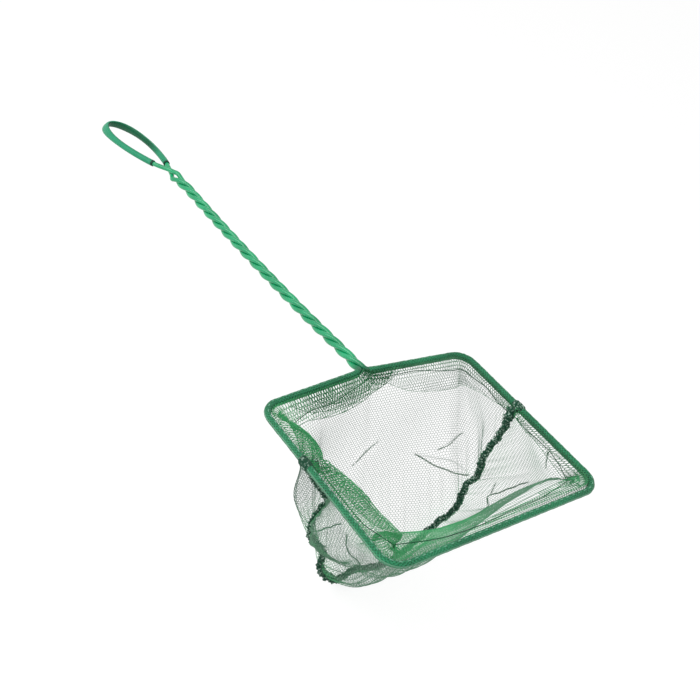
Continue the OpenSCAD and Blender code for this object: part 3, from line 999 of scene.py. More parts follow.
@dataclass(frozen=True)
class SeamCloth(Finish):
    """Many gathered layers of netting, dark with pale specks where light comes through."""

    slot: str = "seam"
    name: str = "gathered_seam"
    deep: Colour = (6, 56, 38)
    light: Colour = (26, 108, 74)
    fleck: Colour = (196, 226, 208)

    def looks(self, g: Graph) -> dict[str, object]:
        """Dark green netting with small pale flecks, which gather in patches.

        Args:
            g: the material's graph.

        Returns:
            The shader's sockets.
        """
        mesh = g.netting(0.95, 1.1, 0.6)
        cells = g.add("ShaderNodeTexVoronoi", {"Vector": g.place(), "Scale": 720.0, "Randomness": 1.0})
        spots = g.scaled(cells.outputs["Distance"], -1.9, 1.0, clamp=True)
        share = g.maths("MULTIPLY", spots, g.maths("ADD", g.drift(260.0, 7.0), 0.15))
        dark = g.blend(mesh, self.deep, self.light)
        return {"Base Color": g.blend(g.scaled(share, 1.6, clamp=True), dark, self.fleck), "Roughness": 0.6,
                "Specular IOR Level": 0.2, "Sheen Weight": 0.06, "Normal": g.bump(mesh, 0.7, 0.25)}


@dataclass(frozen=True)
class SewingThread(Finish):
    """Pale green twisted sewing thread."""

    slot: str = "thread"
    name: str = "pale_thread"
    deep: Colour = (104, 184, 146)
    light: Colour = (140, 206, 174)
    # Painted shade between the plies
    ply_groove_shade: Colour = (70, 150, 112)

    def looks(self, g: Graph) -> dict[str, object]:
        """Slanted plies on the thread's own UV, with painted shade in the grooves between them.

        Args:
            g: the material's graph.

        Returns:
            The shader's sockets.
        """
        split = g.add("ShaderNodeSeparateXYZ", {0: g.place("UV")})
        turns = g.scaled(g.maths("ADD", split.outputs[0], split.outputs[1]), 9.0)
        ply = g.scaled(g.maths("SINE", turns), 0.5, 0.5)
        tone = g.blend(g.drift(300.0, 2.0), self.deep, self.light)
        # Painted shade in the grooves between the plies
        return {"Base Color": g.blend(g.scaled(ply, 0.4), tone, self.ply_groove_shade), "Roughness": 0.5,
                "Sheen Weight": 0.2, "Normal": g.bump(ply, 0.5, 0.08)}


@dataclass(frozen=True)
class DrawnSteel(Finish):
    """Bright drawn steel of the wire's core."""

    slot: str = "steel_wire"
    name: str = "drawn_steel"
    deep: Colour = (168, 170, 172)
    light: Colour = (206, 208, 210)

    def looks(self, g: Graph) -> dict[str, object]:
        """Fine scratches along the wire, on object coordinates.

        Args:
            g: the material's graph.

        Returns:
            The shader's sockets.
        """
        lines = g.lines(g.place(), (900.0, 60.0, 900.0), 3.0)
        return {"Base Color": g.blend(lines, self.deep, self.light), "Metallic": 1.0,
                "Roughness": g.between(lines, 0.2, 0.45)}


def seam_plane(x: Array | float) -> Array | float:
    """How far towards the handle the seam lies at x: its plane is turned a little to the hoop."""
    return NET.seam_y - NET.seam_skew * x / NET.half_w


class WireLine:
    """Centre lines of the bent wire, by the same formulas as the part's source."""

    ARC_POINTS = 25
    STEPS_A_TURN = 60
    EVEN_STEP = 0.55
    SPREAD = {Strand.RIGHT: 0.0, Strand.LEFT: 60.0, Strand.THIRD: 30.0}

    @classmethod
    def corner(cls, cx: float, cy: float, r: float, start: float, end: float) -> Array:
        """A round corner about (cx, cy), from one angle in degrees to another."""
        a = np.radians(np.linspace(start, end, cls.ARC_POINTS))
        return np.stack([cx + r * np.cos(a), cy + r * np.sin(a), np.zeros_like(a)], axis=-1)

    @staticmethod
    def handle_corner_y(inset: float) -> float:
        """Centre height of the two blunter corners on the handle side."""
        return (NET.half_l - inset / math.cos(NET.lean) + inset * math.tan(NET.lean)
                - (NET.corner_r - inset) * math.tan(math.pi / 4 - NET.lean / 2))

    @classmethod
    def corners(cls, inset: float) -> tuple[Array, Array, Array, Array]:
        """The hoop's four corners, on the wire's line or inside it.

        Args:
            inset: distance inside the wire's line.

        Returns:
            Handle left, handle right, far right and far left, each clockwise from above.
        """
        lean = math.degrees(NET.lean)
        r, x, low = NET.corner_r - inset, NET.half_w - NET.corner_r, NET.corner_r - NET.half_l
        high = cls.handle_corner_y(inset)
        return (cls.corner(-x, high, r, 180, 90 + lean), cls.corner(x, high, r, 90 - lean, 0),
                cls.corner(x, low, r, 0, -90), cls.corner(-x, low, r, -90, -180))

    @staticmethod
    def side_point(x: float, inset: float) -> Array:
        """A point of the handle side at x from the middle."""
        y = NET.apex_y - inset / math.cos(NET.lean) - abs(x) * math.tan(NET.lean)
        return np.array([[x, y, 0.0]])

    @classmethod
    def hoop(cls) -> Array:
        """The wire round the hoop.

        Returns:
            Points from the right end of the handle side to the left one.
        """
        a, b, c, d = cls.corners(0.0)
        start, end = cls.side_point(NET.joint_reach, 0), cls.side_point(-NET.joint_reach, 0)
        return np.vstack([start, b, c, d, a, end])

    @staticmethod
    def handle(y: Array) -> Array:
        """The handle's own line, with u the share of the twist.

        It leans and droops by u ease(4 u), bows down by 4 u (1 - u) and kicks aside at its end.

        Args:
            y: places along the handle.

        Returns:
            One point for each place.
        """
        u = (y - NET.twist_y) / NET.twist_l
        grow = np.where(u > 0, u * ease(u * 4), 0.0)
        bow = 4 * np.maximum(0.0, u * (1 - u))
        kick = ease((u - 1) / NET.kick_share + 1)
        return np.stack([-NET.handle_lean * grow - NET.handle_kick * kick, y,
                         -NET.handle_droop * grow - NET.handle_bow * bow], axis=-1)

    @classmethod
    def twist(cls, s: Array, strand: Strand) -> Array:
        """One strand of the twist, a left-handed helix.

        The angle is start + 120 k + 360 s / pitch, plus (lag + spread) exp((s - l) / (pitch
        share)): three strands a third of a turn apart settle to two that lie one over the other.
        The radius keeps them touching, and opens at the small eye under the loop.

        Args:
            s: distances up the twist.
            strand: the strand, whose number is k.

        Returns:
            One point for each distance.
        """
        settled = np.exp((s - NET.twist_l) / (NET.twist_pitch * NET.settle_share))
        a = np.radians(NET.start_turn + 120 * strand.value + 360 * s / NET.twist_pitch
                       + (NET.lag + cls.SPREAD[strand]) * settled)
        packed = NET.pair_r / np.sin(np.radians(60 - 15 * settled))
        back = NET.twist_l - s
        eye = NET.eye_open * bell(back - NET.eye_back, NET.eye_back * NET.eye_share)
        r = NET.pair_r + (packed - NET.pair_r) * ease(back / NET.eye_back) + eye
        offset = np.stack([r * np.cos(a), np.zeros_like(a), r * np.sin(a)], axis=-1)
        return cls.handle(NET.twist_y + s) + offset

    @classmethod
    def bend(cls, strand: Strand, reach: float = 1.0) -> Array:
        """The bend of a strand out of the handle side, a cubic between two tangents.

        Args:
            strand: one of the hoop's two ends.
            reach: the share of the bend to follow.

        Returns:
            Points from the hoop towards the twist.
        """
        t = np.linspace(0.0, reach, cls.ARC_POINTS)[:, None]
        side = 1 if strand is Strand.RIGHT else -1
        start = cls.side_point(side * NET.joint_reach, 0)
        end = cls.twist(np.array([0.0]), strand)
        along_side = np.array([[-side * math.cos(NET.lean), math.sin(NET.lean), 0.0]])
        leave = start + NET.joint_reach / 2 * along_side
        ahead = cls.twist(np.array([NET.twist_pitch / cls.STEPS_A_TURN]), strand)
        arrive = end - NET.joint_reach / 4 * unit(ahead - end)
        return ((1 - t) ** 3 * start + 3 * t * (1 - t) ** 2 * leave + 3 * t * t * (1 - t) * arrive
                + t ** 3 * end)

    @classmethod
    def loop(cls, a: Array) -> Array:
        """The hanging loop, a leaning teardrop whose two ends part in height.

        It reaches (1 - cos a) / 2 of its length along the handle and sin a sin(a / 2) across.

        Args:
            a: angles in degrees, 180 at the loop's far end.

        Returns:
            One point for each angle.
        """
        r = np.radians(a)
        along = NET.loop_l * (1 - np.cos(r)) / 2
        u = along / NET.loop_l
        across = -NET.loop_h * np.sin(r) * np.sin(r / 2)
        lean = NET.loop_lean * u ** 2 * (1 + NET.lean_share) / (u + NET.lean_share)
        level = NET.pair_r * bell(u, NET.level_share) * np.where(a < 180, 1, -1)
        return cls.handle(np.array([NET.cross_y])) + np.stack([across - lean, along, level], axis=-1)

    @staticmethod
    def loop_angle(height: Array | float) -> Array:
        """The teardrop's angle at heights above the crossing."""
        return np.degrees(np.arccos(1 - 2 * np.asarray(height) / NET.loop_l))

    @classmethod
    def strand(cls, strand: Strand) -> Array:
        """The whole line of one strand of the handle.

        Args:
            strand: the third one, or one of the hoop's two ends.

        Returns:
            Points in even steps. The hoop's ends run from the hoop into the soft tube.
        """
        step = NET.twist_pitch / cls.STEPS_A_TURN
        if strand is Strand.THIRD:
            route = cls.twist(np.arange(0.0, NET.third_l, step), strand)
        else:
            right = strand is Strand.RIGHT
            grip = (NET.stub_left if right else NET.stub_right) + NET.stub_grip
            a = cls.loop_angle(np.linspace(0.0, grip, cls.ARC_POINTS))
            twisted = cls.twist(np.arange(0.0, NET.twist_l, step), strand)
            route = np.vstack([cls.bend(strand)[:-1], twisted, cls.loop(a if right else 360 - a)])
        even = resampled(route, int(lengths(route)[-1] / cls.EVEN_STEP))
        return np.vstack([even[:1], softened(even, 2)[1:-1], even[-1:]])

    @staticmethod
    def tack(side: Side) -> Array:
        """The middle of a bar tack, where the seam meets the hoop."""
        return np.array([[side.value * NET.half_w, seam_plane(side.value * NET.half_w), 0.0]])

    @classmethod
    def hems(cls) -> dict[str, Array]:
        """The wire under each hem: two behind the tacks and one in front.

        Returns:
            Its points, by the name of the hem's solid.
        """
        a, b, c, d = cls.corners(0.0)
        left, right = cls.tack(Side.LEFT), cls.tack(Side.RIGHT)
        apart, share = NET.soft_gap * TO_HANDLE, NET.hem_bend_share
        return {"hem_back_left": np.vstack([cls.bend(Strand.LEFT, share)[::-1], a[::-1], left]),
                "hem_back_right": np.vstack([cls.bend(Strand.RIGHT, share)[::-1], b, right]),
                "hem_front": np.vstack([left - apart, d[::-1], c[::-1], right - apart])}


@dataclass(frozen=True)
class CoatedWire:
    """The hoop and the twisted handle: wires in their vinyl coats.

    The soft coats of the twisted strands are drawn a hair thicker than the solids, so that they touch.
    """

    sides: int = 24
    hoop_step: float = 1.2
    touching_r: float = 1.61
    shade_before: float = 3.0
    shade_l: float = 9.0
    finish: VinylCoat = VinylCoat()

    def sleeve(self, path: Array, radius: float) -> Shape:
        """The coat along a stretch of wire, a round walled tube. Its near_hoop fades up the twist.

        Args:
            path: the wire's centre line.
            radius: the coat's outer radius.

        Returns:
            The coat.
        """
        skin = radius * np.ones((len(path), self.sides))
        near = 1 - ease((path[:, 1:2] - NET.twist_y + self.shade_before) / self.shade_l)
        return round_sleeve(path, skin, NET.core_d / 2, {"near_hoop": near * np.ones_like(skin)})

    def build(self) -> None:
        """Makes the hoop's coat and the strands' coats, and dresses the steel cores."""
        hoop = WireLine.hoop()
        even = resampled(hoop, int(lengths(hoop)[-1] / self.hoop_step))
        put("hoop_vinyl", self.sleeve(even, NET.coat_r), self.finish, ["hoop_coat"])
        for strand in Strand:
            label = strand.name.lower()
            shape = self.sleeve(WireLine.strand(strand), self.touching_r)
            put(f"strand_vinyl_{label}", shape, self.finish, [f"strand_coat_{label}"])
        steel = DrawnSteel().material()
        for name in ("wire_core", "third_core"):
            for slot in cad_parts[name].material_slots:
                slot.material = steel
            log.info("%s: the packed solid, dressed in %s", name, steel.name)


@dataclass(frozen=True)
class HangingLoop:
    """The soft tube over both wire ends, round at its ends and pressed flat in the bend.

    The roll and the stretch, a painted highlight round the far end, each have a middle and a reach, as
    angles of the teardrop.
    """

    rings: int = 260
    sides: int = 40
    # Length of the painted shadow at each cut rim
    rim_length: float = 1.9
    squareness: float = 2.5
    roll: float = 34.0
    roll_at: float = 165.0
    roll_reach: float = 55.0
    # Strength of the painted highlight round the far end of the bend
    stretch: float = 0.8
    highlight_at: float = 185.0
    highlight_reach: float = 26.0
    finish: SoftTube = SoftTube()

    def build(self) -> None:
        """Carries a section from round to flat along the teardrop.

        The section is |x/w|^n + |y/t|^n = 1, with n from 2 where the tube is round to
        the squareness where it is flat. Round the bend its outer face leans up by the roll.
        """
        start = float(WireLine.loop_angle(NET.stub_left))
        end = 360 - float(WireLine.loop_angle(NET.stub_right))
        angles = np.linspace(start, end, self.rings + 1)
        path = WireLine.loop(angles)
        near_end = from_ends(np.arange(self.rings + 1))[:, None] / self.rings
        flat = ease((near_end - NET.round_share) / (NET.pressed_share - NET.round_share))
        turn = circle(self.sides)
        power = 2 / (2 + (self.squareness - 2) * flat)
        c = np.sign(np.cos(turn)) * np.abs(np.cos(turn)) ** power
        s = np.sign(np.sin(turn)) * np.abs(np.sin(turn)) ** power
        thick = NET.tube_r * (1 - flat) + NET.tube_flat_t / 2 * flat
        wide = NET.tube_r * (1 - flat) + NET.tube_flat_w / 2 * flat
        _, a, _ = path_frame(path, UP)
        inward = np.sign(np.median(np.einsum("ij,ij->i", a, path[::-1] - path)))
        leaning = np.radians(self.roll) * bell(angles - self.roll_at, self.roll_reach)[:, None]

        def rolled(side: Array, rise: Array) -> tuple[Array, Array]:
            """The section turned so that its outer face looks up."""
            return (side * np.cos(leaning) + inward * rise * np.sin(leaning),
                    rise * np.cos(leaning) - inward * side * np.sin(leaning))

        outer = rolled(thick * c, wide * s)
        bore = rolled((thick - NET.tube_wall) * c, (wide - NET.tube_wall) * s)
        from_rim = from_ends(lengths(path))[:, None] / self.rim_length
        # Painted highlight: paler colour round the far end of the bend, which faces the light
        stretched = self.stretch * bell(angles - self.highlight_at, self.highlight_reach)[:, None]
        # Painted shade on the inner face past the section's middle and away from the ends, and a painted
        # shadow on the cut rim at the ends
        values = {"inner_face": ease((inward * c + 0.05) / 0.25) * ease((near_end - 0.06) / 0.12),
                  "cut_rim": (1 - ease((from_rim - 0.6) / 0.4)) * np.ones_like(c),
                  "stretched": stretched * np.ones_like(c)}
        put("hanging_loop", walled_tube(path, UP, outer, bore, values), self.finish, ["hang_loop_tube"])


class SeamLine:
    """The line of the seam, a smooth curve through its shares."""

    STEPS = 8

    @classmethod
    def curve(cls) -> Array:
        """Catmull-Rom curve through the shares: a cubic between each two, shaped by their neighbours.

        Returns:
            Points from the left tack to the right one.
        """
        p, last = SEAM_SHARES, len(SEAM_SHARES) - 1
        i = np.repeat(np.arange(last), cls.STEPS)
        t = np.tile(np.linspace(0, 1, cls.STEPS, endpoint=False), last)[:, None]
        a, b = p[np.maximum(i - 1, 0)], p[i]
        c, d = p[i + 1], p[np.minimum(i + 2, last)]
        q = (2 * b + (c - a) * t + (2 * a - 5 * b + 4 * c - d) * t ** 2
             + (3 * b - a - 3 * c + d) * t ** 3) / 2
        q = np.vstack([q, p[-1:]])
        x = q[:, 0] * (NET.half_w - NET.tack_r - NET.seam_r - NET.soft_gap)
        drop = np.minimum(q[:, 1], 1.0)
        return np.stack([x, seam_plane(x), -(NET.tack_r * (1 - drop) + NET.bag_d * drop)], axis=-1)


@dataclass(frozen=True)
class Cloth:
    """A draped surface as a grid, with rows down the drop and columns along the rim."""

    points: Array
    normals: Array

    @classmethod
    def draped(cls, points: Array) -> "Cloth":
        """The cloth through a grid of points.

        Args:
            points: rows by columns by 3.

        Returns:
            The cloth, its unit normals turned towards the bag's middle line.
        """
        n = unit(np.cross(np.gradient(points, axis=0), np.gradient(points, axis=1)))
        middle = np.zeros_like(points)
        middle[..., 1], middle[..., 2] = NET.seam_y, points[..., 2]
        inside = np.einsum("ijk,ijk->ij", n, middle - points).sum() > 0
        return cls(points, n if inside else -n)

    @property
    def drops(self) -> Array:
        """Length of each column, in millimetres."""
        return np.linalg.norm(np.diff(self.points, axis=0), axis=2).sum(axis=0)

    def at(self, t: Array, s: Array, offset: float) -> tuple[Array, Array]:
        """Places at shares of the rim and of the drop, offset into the bag, and the normals there."""
        normal = unit(bilinear(self.normals, t, s))
        return bilinear(self.points, t, s) + offset * normal, normal


def lattice(width: float, drop: float, pitch: float) -> tuple[Array, Array]:
    """Hexagonal mesh on a flat sheet.

    Rows of zigzag yarn lie 1.5 edges apart, and every second corner has a straight
    link down to the next row. An edge is the pitch over the square root of 3.

    Args:
        width: the sheet's width, in millimetres.
        drop: its length.
        pitch: width of one mesh.

    Returns:
        The corners as x and y, and the edges as pairs of corner numbers.
    """
    edge = pitch / math.sqrt(3)
    cols, rows = int(width / (pitch / 2)) + 1, int(drop / (1.5 * edge)) + 2
    j, i = np.meshgrid(np.arange(rows), np.arange(cols), indexing="ij")
    odd = (i + j) % 2
    x = i * width / (cols - 1)
    y = j * 1.5 * edge + 0.5 * edge * odd
    corner = j * cols + i
    zigzag = np.stack([corner[:, :-1].ravel(), corner[:, 1:].ravel()], axis=-1)
    link = np.stack([corner[:-1].ravel(), corner[1:].ravel()], axis=-1)[odd[:-1].ravel() == 1]
    return np.stack([x.ravel(), y.ravel()], axis=-1), np.vstack([zigzag, link])


def yarns(place: Array, normal: Array, edges: Array, girth: float, dark: float = 0.0,
          bunched: Array | float = 0.0) -> Shape:
    """Three-sided yarns along the edges of a net.

    Args:
        place: corners of the net.
        normal: the direction that one side of a yarn faces, at each corner.
        edges: pairs of corner numbers.
        girth: width of one side of a yarn.
        dark: how dark the yarns are, from 0 to 1.
        bunched: how close the layers lie at the yarns, from 0 to 1.

    Returns:
        Open prisms: corners at start and end plus r (cos k a + sin k b), k = 90, 210, 330.
    """
    start, end = place[edges[:, 0]], place[edges[:, 1]]
    along = unit(end - start)
    a = unit(np.cross(along, normal[edges[:, 0]]))
    b = np.cross(a, along)
    turn = np.radians([90.0, 210.0, 330.0])[None, :, None]
    ring = girth / math.sqrt(3) * (np.cos(turn) * a[:, None] + np.sin(turn) * b[:, None])
    points = np.concatenate([start[:, None] + ring, end[:, None] + ring], axis=1)
    sides = np.array([[0, 1, 4, 3], [1, 2, 5, 4], [2, 0, 3, 5]])
    faces = ((np.arange(len(edges)) * 6)[:, None, None] + sides).reshape(-1, 4)
    uvs = np.tile(np.array([[0, 0], [1, 0], [1, 1], [0, 1]], float), (len(faces), 1, 1))
    values = {"dark": dark, "bunched": bunched}
    return Shape(points.reshape(-1, 3), faces, uvs,
                 {n: np.repeat(np.broadcast_to(v, len(edges)), 6) for n, v in values.items()})


def chain(count: int) -> Array:
    """The edges that join so many points in a row, as pairs of their numbers."""
    first = np.arange(count - 1)
    return np.stack([first, first + 1], axis=-1)


@dataclass(frozen=True)
class Crease:
    """A sharp fold in a panel that gathers the netting to a line.

    Its ends are given as shares of the rim and of the drop, and pull is the share of the
    way to the line that the nearest yarns move.
    """

    start: tuple[float, float]
    end: tuple[float, float]
    reach: float = 2.6
    pull: float = 0.85
    wander: float = 0.0012
    yarn: float = 0.26
    # Painted shade on the crease's yarns
    dark: float = 0.75
    lift: float = 0.2

    def strands(self) -> Array:
        """Three yarns that the fold presses together, each wandering by sines of its share.

        Returns:
            Yarns by points by shares of the rim and of the drop.
        """
        along = np.linspace(0.0, 1.0, 40)[:, None]
        middle = np.array(self.start) * (1 - along) + np.array(self.end) * along
        wander = self.wander * np.sin(along * np.array([17.0, 23.0]) + 10 * self.start[0])
        apart = np.array([[[-0.0012, 0.0009]], [[0.0, 0.0]], [[0.0011, -0.001]]])
        return middle + wander + apart

    def gather(self, flat: Array, width: float, drops: Array) -> Array:
        """Moves points of the flat sheet towards the crease, by pull times a bell of their distance.

        Args:
            flat: the points, as x and y.
            width: the sheet's width.
            drops: its length at even steps along the rim.

        Returns:
            The moved points.
        """
        ends = np.array([self.start, self.end])
        drop = np.interp(ends[:, 0], np.linspace(0, 1, len(drops)), drops)
        line = ends * np.stack([np.full(2, width), drop], axis=-1)
        span = line[1] - line[0]
        share = np.clip(((flat - line[0]) @ span) / (span @ span), 0.0, 1.0)
        gap = line[0] + share[:, None] * span - flat
        fade = np.sin(np.clip(share, 0.04, 0.96) * math.pi) ** 0.5
        return flat + gap * (self.pull * bell(np.linalg.norm(gap, axis=1), self.reach) * fade)[:, None]


@dataclass(frozen=True)
class Layer:
    """A layer of netting: how far down it reaches from the hem, and the look of its mesh."""

    width: Table = ()
    yarn: float = 0.33
    pitch: float = 2.15
    bunched: float = 0.9
    # Painted shade on the layer's yarns and on the yarn along its lower edge
    dark: float = 0.0
    edge: float = 0.34
    edge_dark: float = 0.5


@dataclass(frozen=True)
class NetPanel:
    """One panel of netting: real hexagonal mesh, hung between its rim and the seam.

    The lifts say how far its turned edge and its pleats lie inside it, and the shares how far
    down the drop they reach at most. The climb is how far it rises between the strands, over
    a reach along the rim and a share of the drop.
    """

    half: Half
    creases: tuple[Crease, ...]
    turn_under: Table
    pleats: tuple[Layer, ...]
    own: Layer = Layer(yarn=0.214, pitch=1.75, bunched=0.0)
    turned: Layer = Layer(yarn=0.214, pitch=1.75, bunched=0.5, edge=0.5, edge_dark=0.95)
    rim_inset: float = 1.9
    seam_offset: float = 0.9
    turn_lift: float = 0.7
    turn_edge_lift: float = 0.8
    turn_share: float = 0.6
    pleat_lift: float = 1.1
    pleat_step: float = 0.4
    pleat_share: float = 0.8
    least_pleat: float = 1.5
    edge_margin: float = 0.012
    edge_points: int = 520
    climb: float = 3.2
    climb_reach: float = 4.0
    climb_depth: float = 0.03
    fine_cols: int = 640
    fine_rows: int = 180
    gathers: tuple[Wave, ...] = (Wave(1.0, 0.62, sway=3.0, sway_rate=19.0),
                                 Wave(0.6, 1.13, sway=2.0, sway_rate=31.0, sway_phase=1.0),
                                 Wave(0.5, 0.21, phase=2.0))
    finish: NettingYarn = NettingYarn()

    def rim(self) -> Array:
        """The line that the panel hangs from, inside the hem.

        Returns:
            Points in even steps, from the left tack to the right one.
        """
        a, b, c, d = WireLine.corners(self.rim_inset)
        inset = np.array([[self.rim_inset, 0.0, 0.0]])
        left, right = WireLine.tack(Side.LEFT) + inset, WireLine.tack(Side.RIGHT) - inset
        if self.half is Half.BACK:
            line = np.vstack([left, a, WireLine.side_point(0.0, self.rim_inset), b, right])
        else:
            line = np.vstack([left, d[::-1], c[::-1], right])
        return resampled(line, self.fine_cols)

    def surface(self) -> Cloth:
        """The panel's surface.

        A column runs from the rim to the seam in a straight line, plus a fold towards the
        mouth's middle of x exp(1 - x) (1 - s) with x the drop over the fold's own depth, less
        the belly sin(pi s^3). The back panel climbs a little between the strands. Waves then
        lift the surface along its normals.

        Returns:
            The surface, with its normals into the bag.
        """
        sign, drape = self.half.value, DRAPES[self.half]
        rim = self.rim()
        foot = resampled(SeamLine.curve(), self.fine_cols) + sign * self.seam_offset * TO_HANDLE
        t = np.linspace(0.0, 1.0, self.fine_cols + 1)
        s = np.linspace(0.0, 1.0, self.fine_rows + 1)[:, None]
        run = softened(unit(np.gradient(rim, axis=0)), 6)
        inward = sign * np.stack([run[:, 1], -run[:, 0], np.zeros(len(run))], axis=-1)
        x = s / smooth_table(t, drape.depth)
        fold = NET.fold_in * smooth_table(t, drape.fold) * x * np.exp(1 - x) * (1 - s)
        belly = NET.belly_out * smooth_table(t, drape.belly) * np.sin(math.pi * s ** 3)
        points = rim * (1 - s[..., None]) + foot * s[..., None] + (fold - belly)[..., None] * inward
        if self.half is Half.BACK:
            points[..., 1] += self.climb * bell(rim[:, 0], self.climb_reach) * bell(s, self.climb_depth)
        smooth = Cloth.draped(points)
        return Cloth.draped(points + self.waves(t, s, t * lengths(rim)[-1])[..., None] * smooth.normals)

    def waves(self, t: Array, s: Array, span: Array) -> Array:
        """Waves that run down from the gathers at the seam and at the tacks, and slow ones between.

        Args:
            t: shares of the rim.
            s: shares of the drop, one row each.
            span: distances along the rim.

        Returns:
            Their height, rows by columns. They die away up the drop.
        """
        # The gathers' waves set in over a third of the way down, and stop just over the seam
        low = ease((s - 0.35) / 0.65) * (1 - ease((s - 0.97) / 0.03))
        middle = np.sin(s * math.pi)
        slow = Wave(0.9, 0.09, 2.2 * math.pi, self.half.value).at(span, s)
        at_tacks = Wave(0.5, 1.9).at(span) * bell(np.minimum(t, 1 - t), 0.07)
        total = 0.55 * summed(self.gathers, span, t) * low + (slow + at_tacks) * middle
        return total * (1 - ease((0.06 - s) / 0.06))

    def bunching(self, t: Array, s: Array) -> Array:
        """How close the netting's layers lie, from 0 to 1.

        They lie close under the hem, in the folds that hang inside the mouth, at the tacks
        and along the seam.

        Args:
            t: shares of the rim.
            s: shares of the drop.

        Returns:
            One number for each pair of shares.
        """
        # Each ease fades from a share of the rim or drop over a further share, each bell about an edge
        fold = 1 - ease((s - 0.3) / 0.22)
        if self.half is Half.BACK:
            fold = fold * (1 - ease((t - 0.2) / 0.1)) + 0.45 * bell(s, 0.07)
        else:
            fold = fold * (1 - 0.7 * ease((t - 0.45) / 0.15)) + 0.3 * ease((s - 0.4) / 0.3)
        closest = np.maximum(np.maximum(fold, bell(1 - s, 0.1)), bell(np.minimum(t, 1 - t), 0.05))
        return np.clip(closest, 0.0, 1.0)

    def mesh(self, cloth: Cloth, look: Layer, limit: Array, lift: float) -> Shape:
        """A layer of mesh over the panel's surface, gathered to the creases.

        Args:
            cloth: the surface.
            look: the layer's look.
            limit: how far down each column it reaches.
            lift: distance into the bag.

        Returns:
            The layer's yarns.
        """
        width, drops = lengths(self.rim())[-1], cloth.drops
        cols = np.linspace(0.0, 1.0, len(drops))
        moved, edges = lattice(width, float(limit.max()), look.pitch)
        for crease in self.creases:
            moved = crease.gather(moved, width, drops)
        t = np.clip(moved[:, 0] / width, 0.0, 1.0)
        s = moved[:, 1] / np.interp(t, cols, drops)
        inside = (moved[:, 1] <= np.interp(t, cols, limit)) & (s <= 1.0) & (moved[:, 1] >= 0)
        edges = edges[inside[edges].all(axis=1)]
        close = np.maximum(self.bunching(t, s), look.bunched)[edges[:, 0]]
        return yarns(*cloth.at(t, s, lift), edges, look.yarn, look.dark, close)

    @staticmethod
    def reach(cloth: Cloth, width: Table, most: float) -> Array:
        """How far down each column a layer of that width reaches, up to a share of the drop."""
        at = np.linspace(0.0, 1.0, len(cloth.drops))
        return np.minimum(smooth_table(at, width, 6), cloth.drops * most)

    def edge_yarn(self, cloth: Cloth, look: Layer, limit: Array, lift: float, least: float) -> Shape:
        """The yarn along the lower edge of a layer.

        Args:
            cloth: the surface.
            look: the layer's look.
            limit: how far down each column it reaches.
            lift: distance into the bag.
            least: the reach that a column with an edge is over.

        Returns:
            The yarn, from tack to tack.
        """
        t = np.linspace(self.edge_margin, 1 - self.edge_margin, self.edge_points)
        cols = np.linspace(0, 1, len(limit))
        edges = chain(len(t))[np.interp(t[:-1], cols, (limit > least).astype(float)) > 0.5]
        at = np.interp(t, cols, limit / cloth.drops)
        return yarns(*cloth.at(t, at, lift), edges, look.edge, look.edge_dark, 1.0)

    def extras(self, cloth: Cloth, turn: Array) -> Shape:
        """The turned edge, the pleats and the creases' yarns, each with its own lift.

        Args:
            cloth: the panel's surface.
            turn: width of the turned edge at each column.

        Returns:
            All of them as one shape.
        """
        made = [self.mesh(cloth, self.turned, turn, self.turn_lift),
                self.edge_yarn(cloth, self.turned, turn, self.turn_edge_lift, 0.0)]
        for number, pleat in enumerate(self.pleats):
            reach = self.reach(cloth, pleat.width, self.pleat_share)
            lift = self.pleat_lift + self.pleat_step * number
            made += [self.mesh(cloth, pleat, reach, lift),
                     self.edge_yarn(cloth, pleat, reach, lift, self.least_pleat)]
        for crease in self.creases:
            for strand in crease.strands():
                place, normal = cloth.at(*strand.T, crease.lift)
                made.append(yarns(place, normal, chain(len(strand)), crease.yarn, crease.dark, 1.0))
        return Shape.joined(made)

    def build(self, name: str, nodes: Sequence[str], hems: Sequence[Piece]) -> Piece:
        """Makes the panel, and its turned edge with the pleats and the creases' yarns as a second piece.

        Args:
            name: the piece's name.
            nodes: the solids it stands for.
            hems: the hems and other pieces sewn to it; not used.

        Returns:
            The panel.
        """
        cloth = self.surface()
        drops, turn = cloth.drops, self.reach(cloth, self.turn_under, self.turn_share)
        full, extra = self.mesh(cloth, self.own, drops, 0.0), self.extras(cloth, turn)
        piece = put(name, full, self.finish, nodes, smooth=False)
        allowance = put(f"{name}_turned_edge", extra, self.finish, [], smooth=False)
        width, depth = lengths(self.rim())[-1] * MM, float((drops + turn).max()) * MM
        return piece


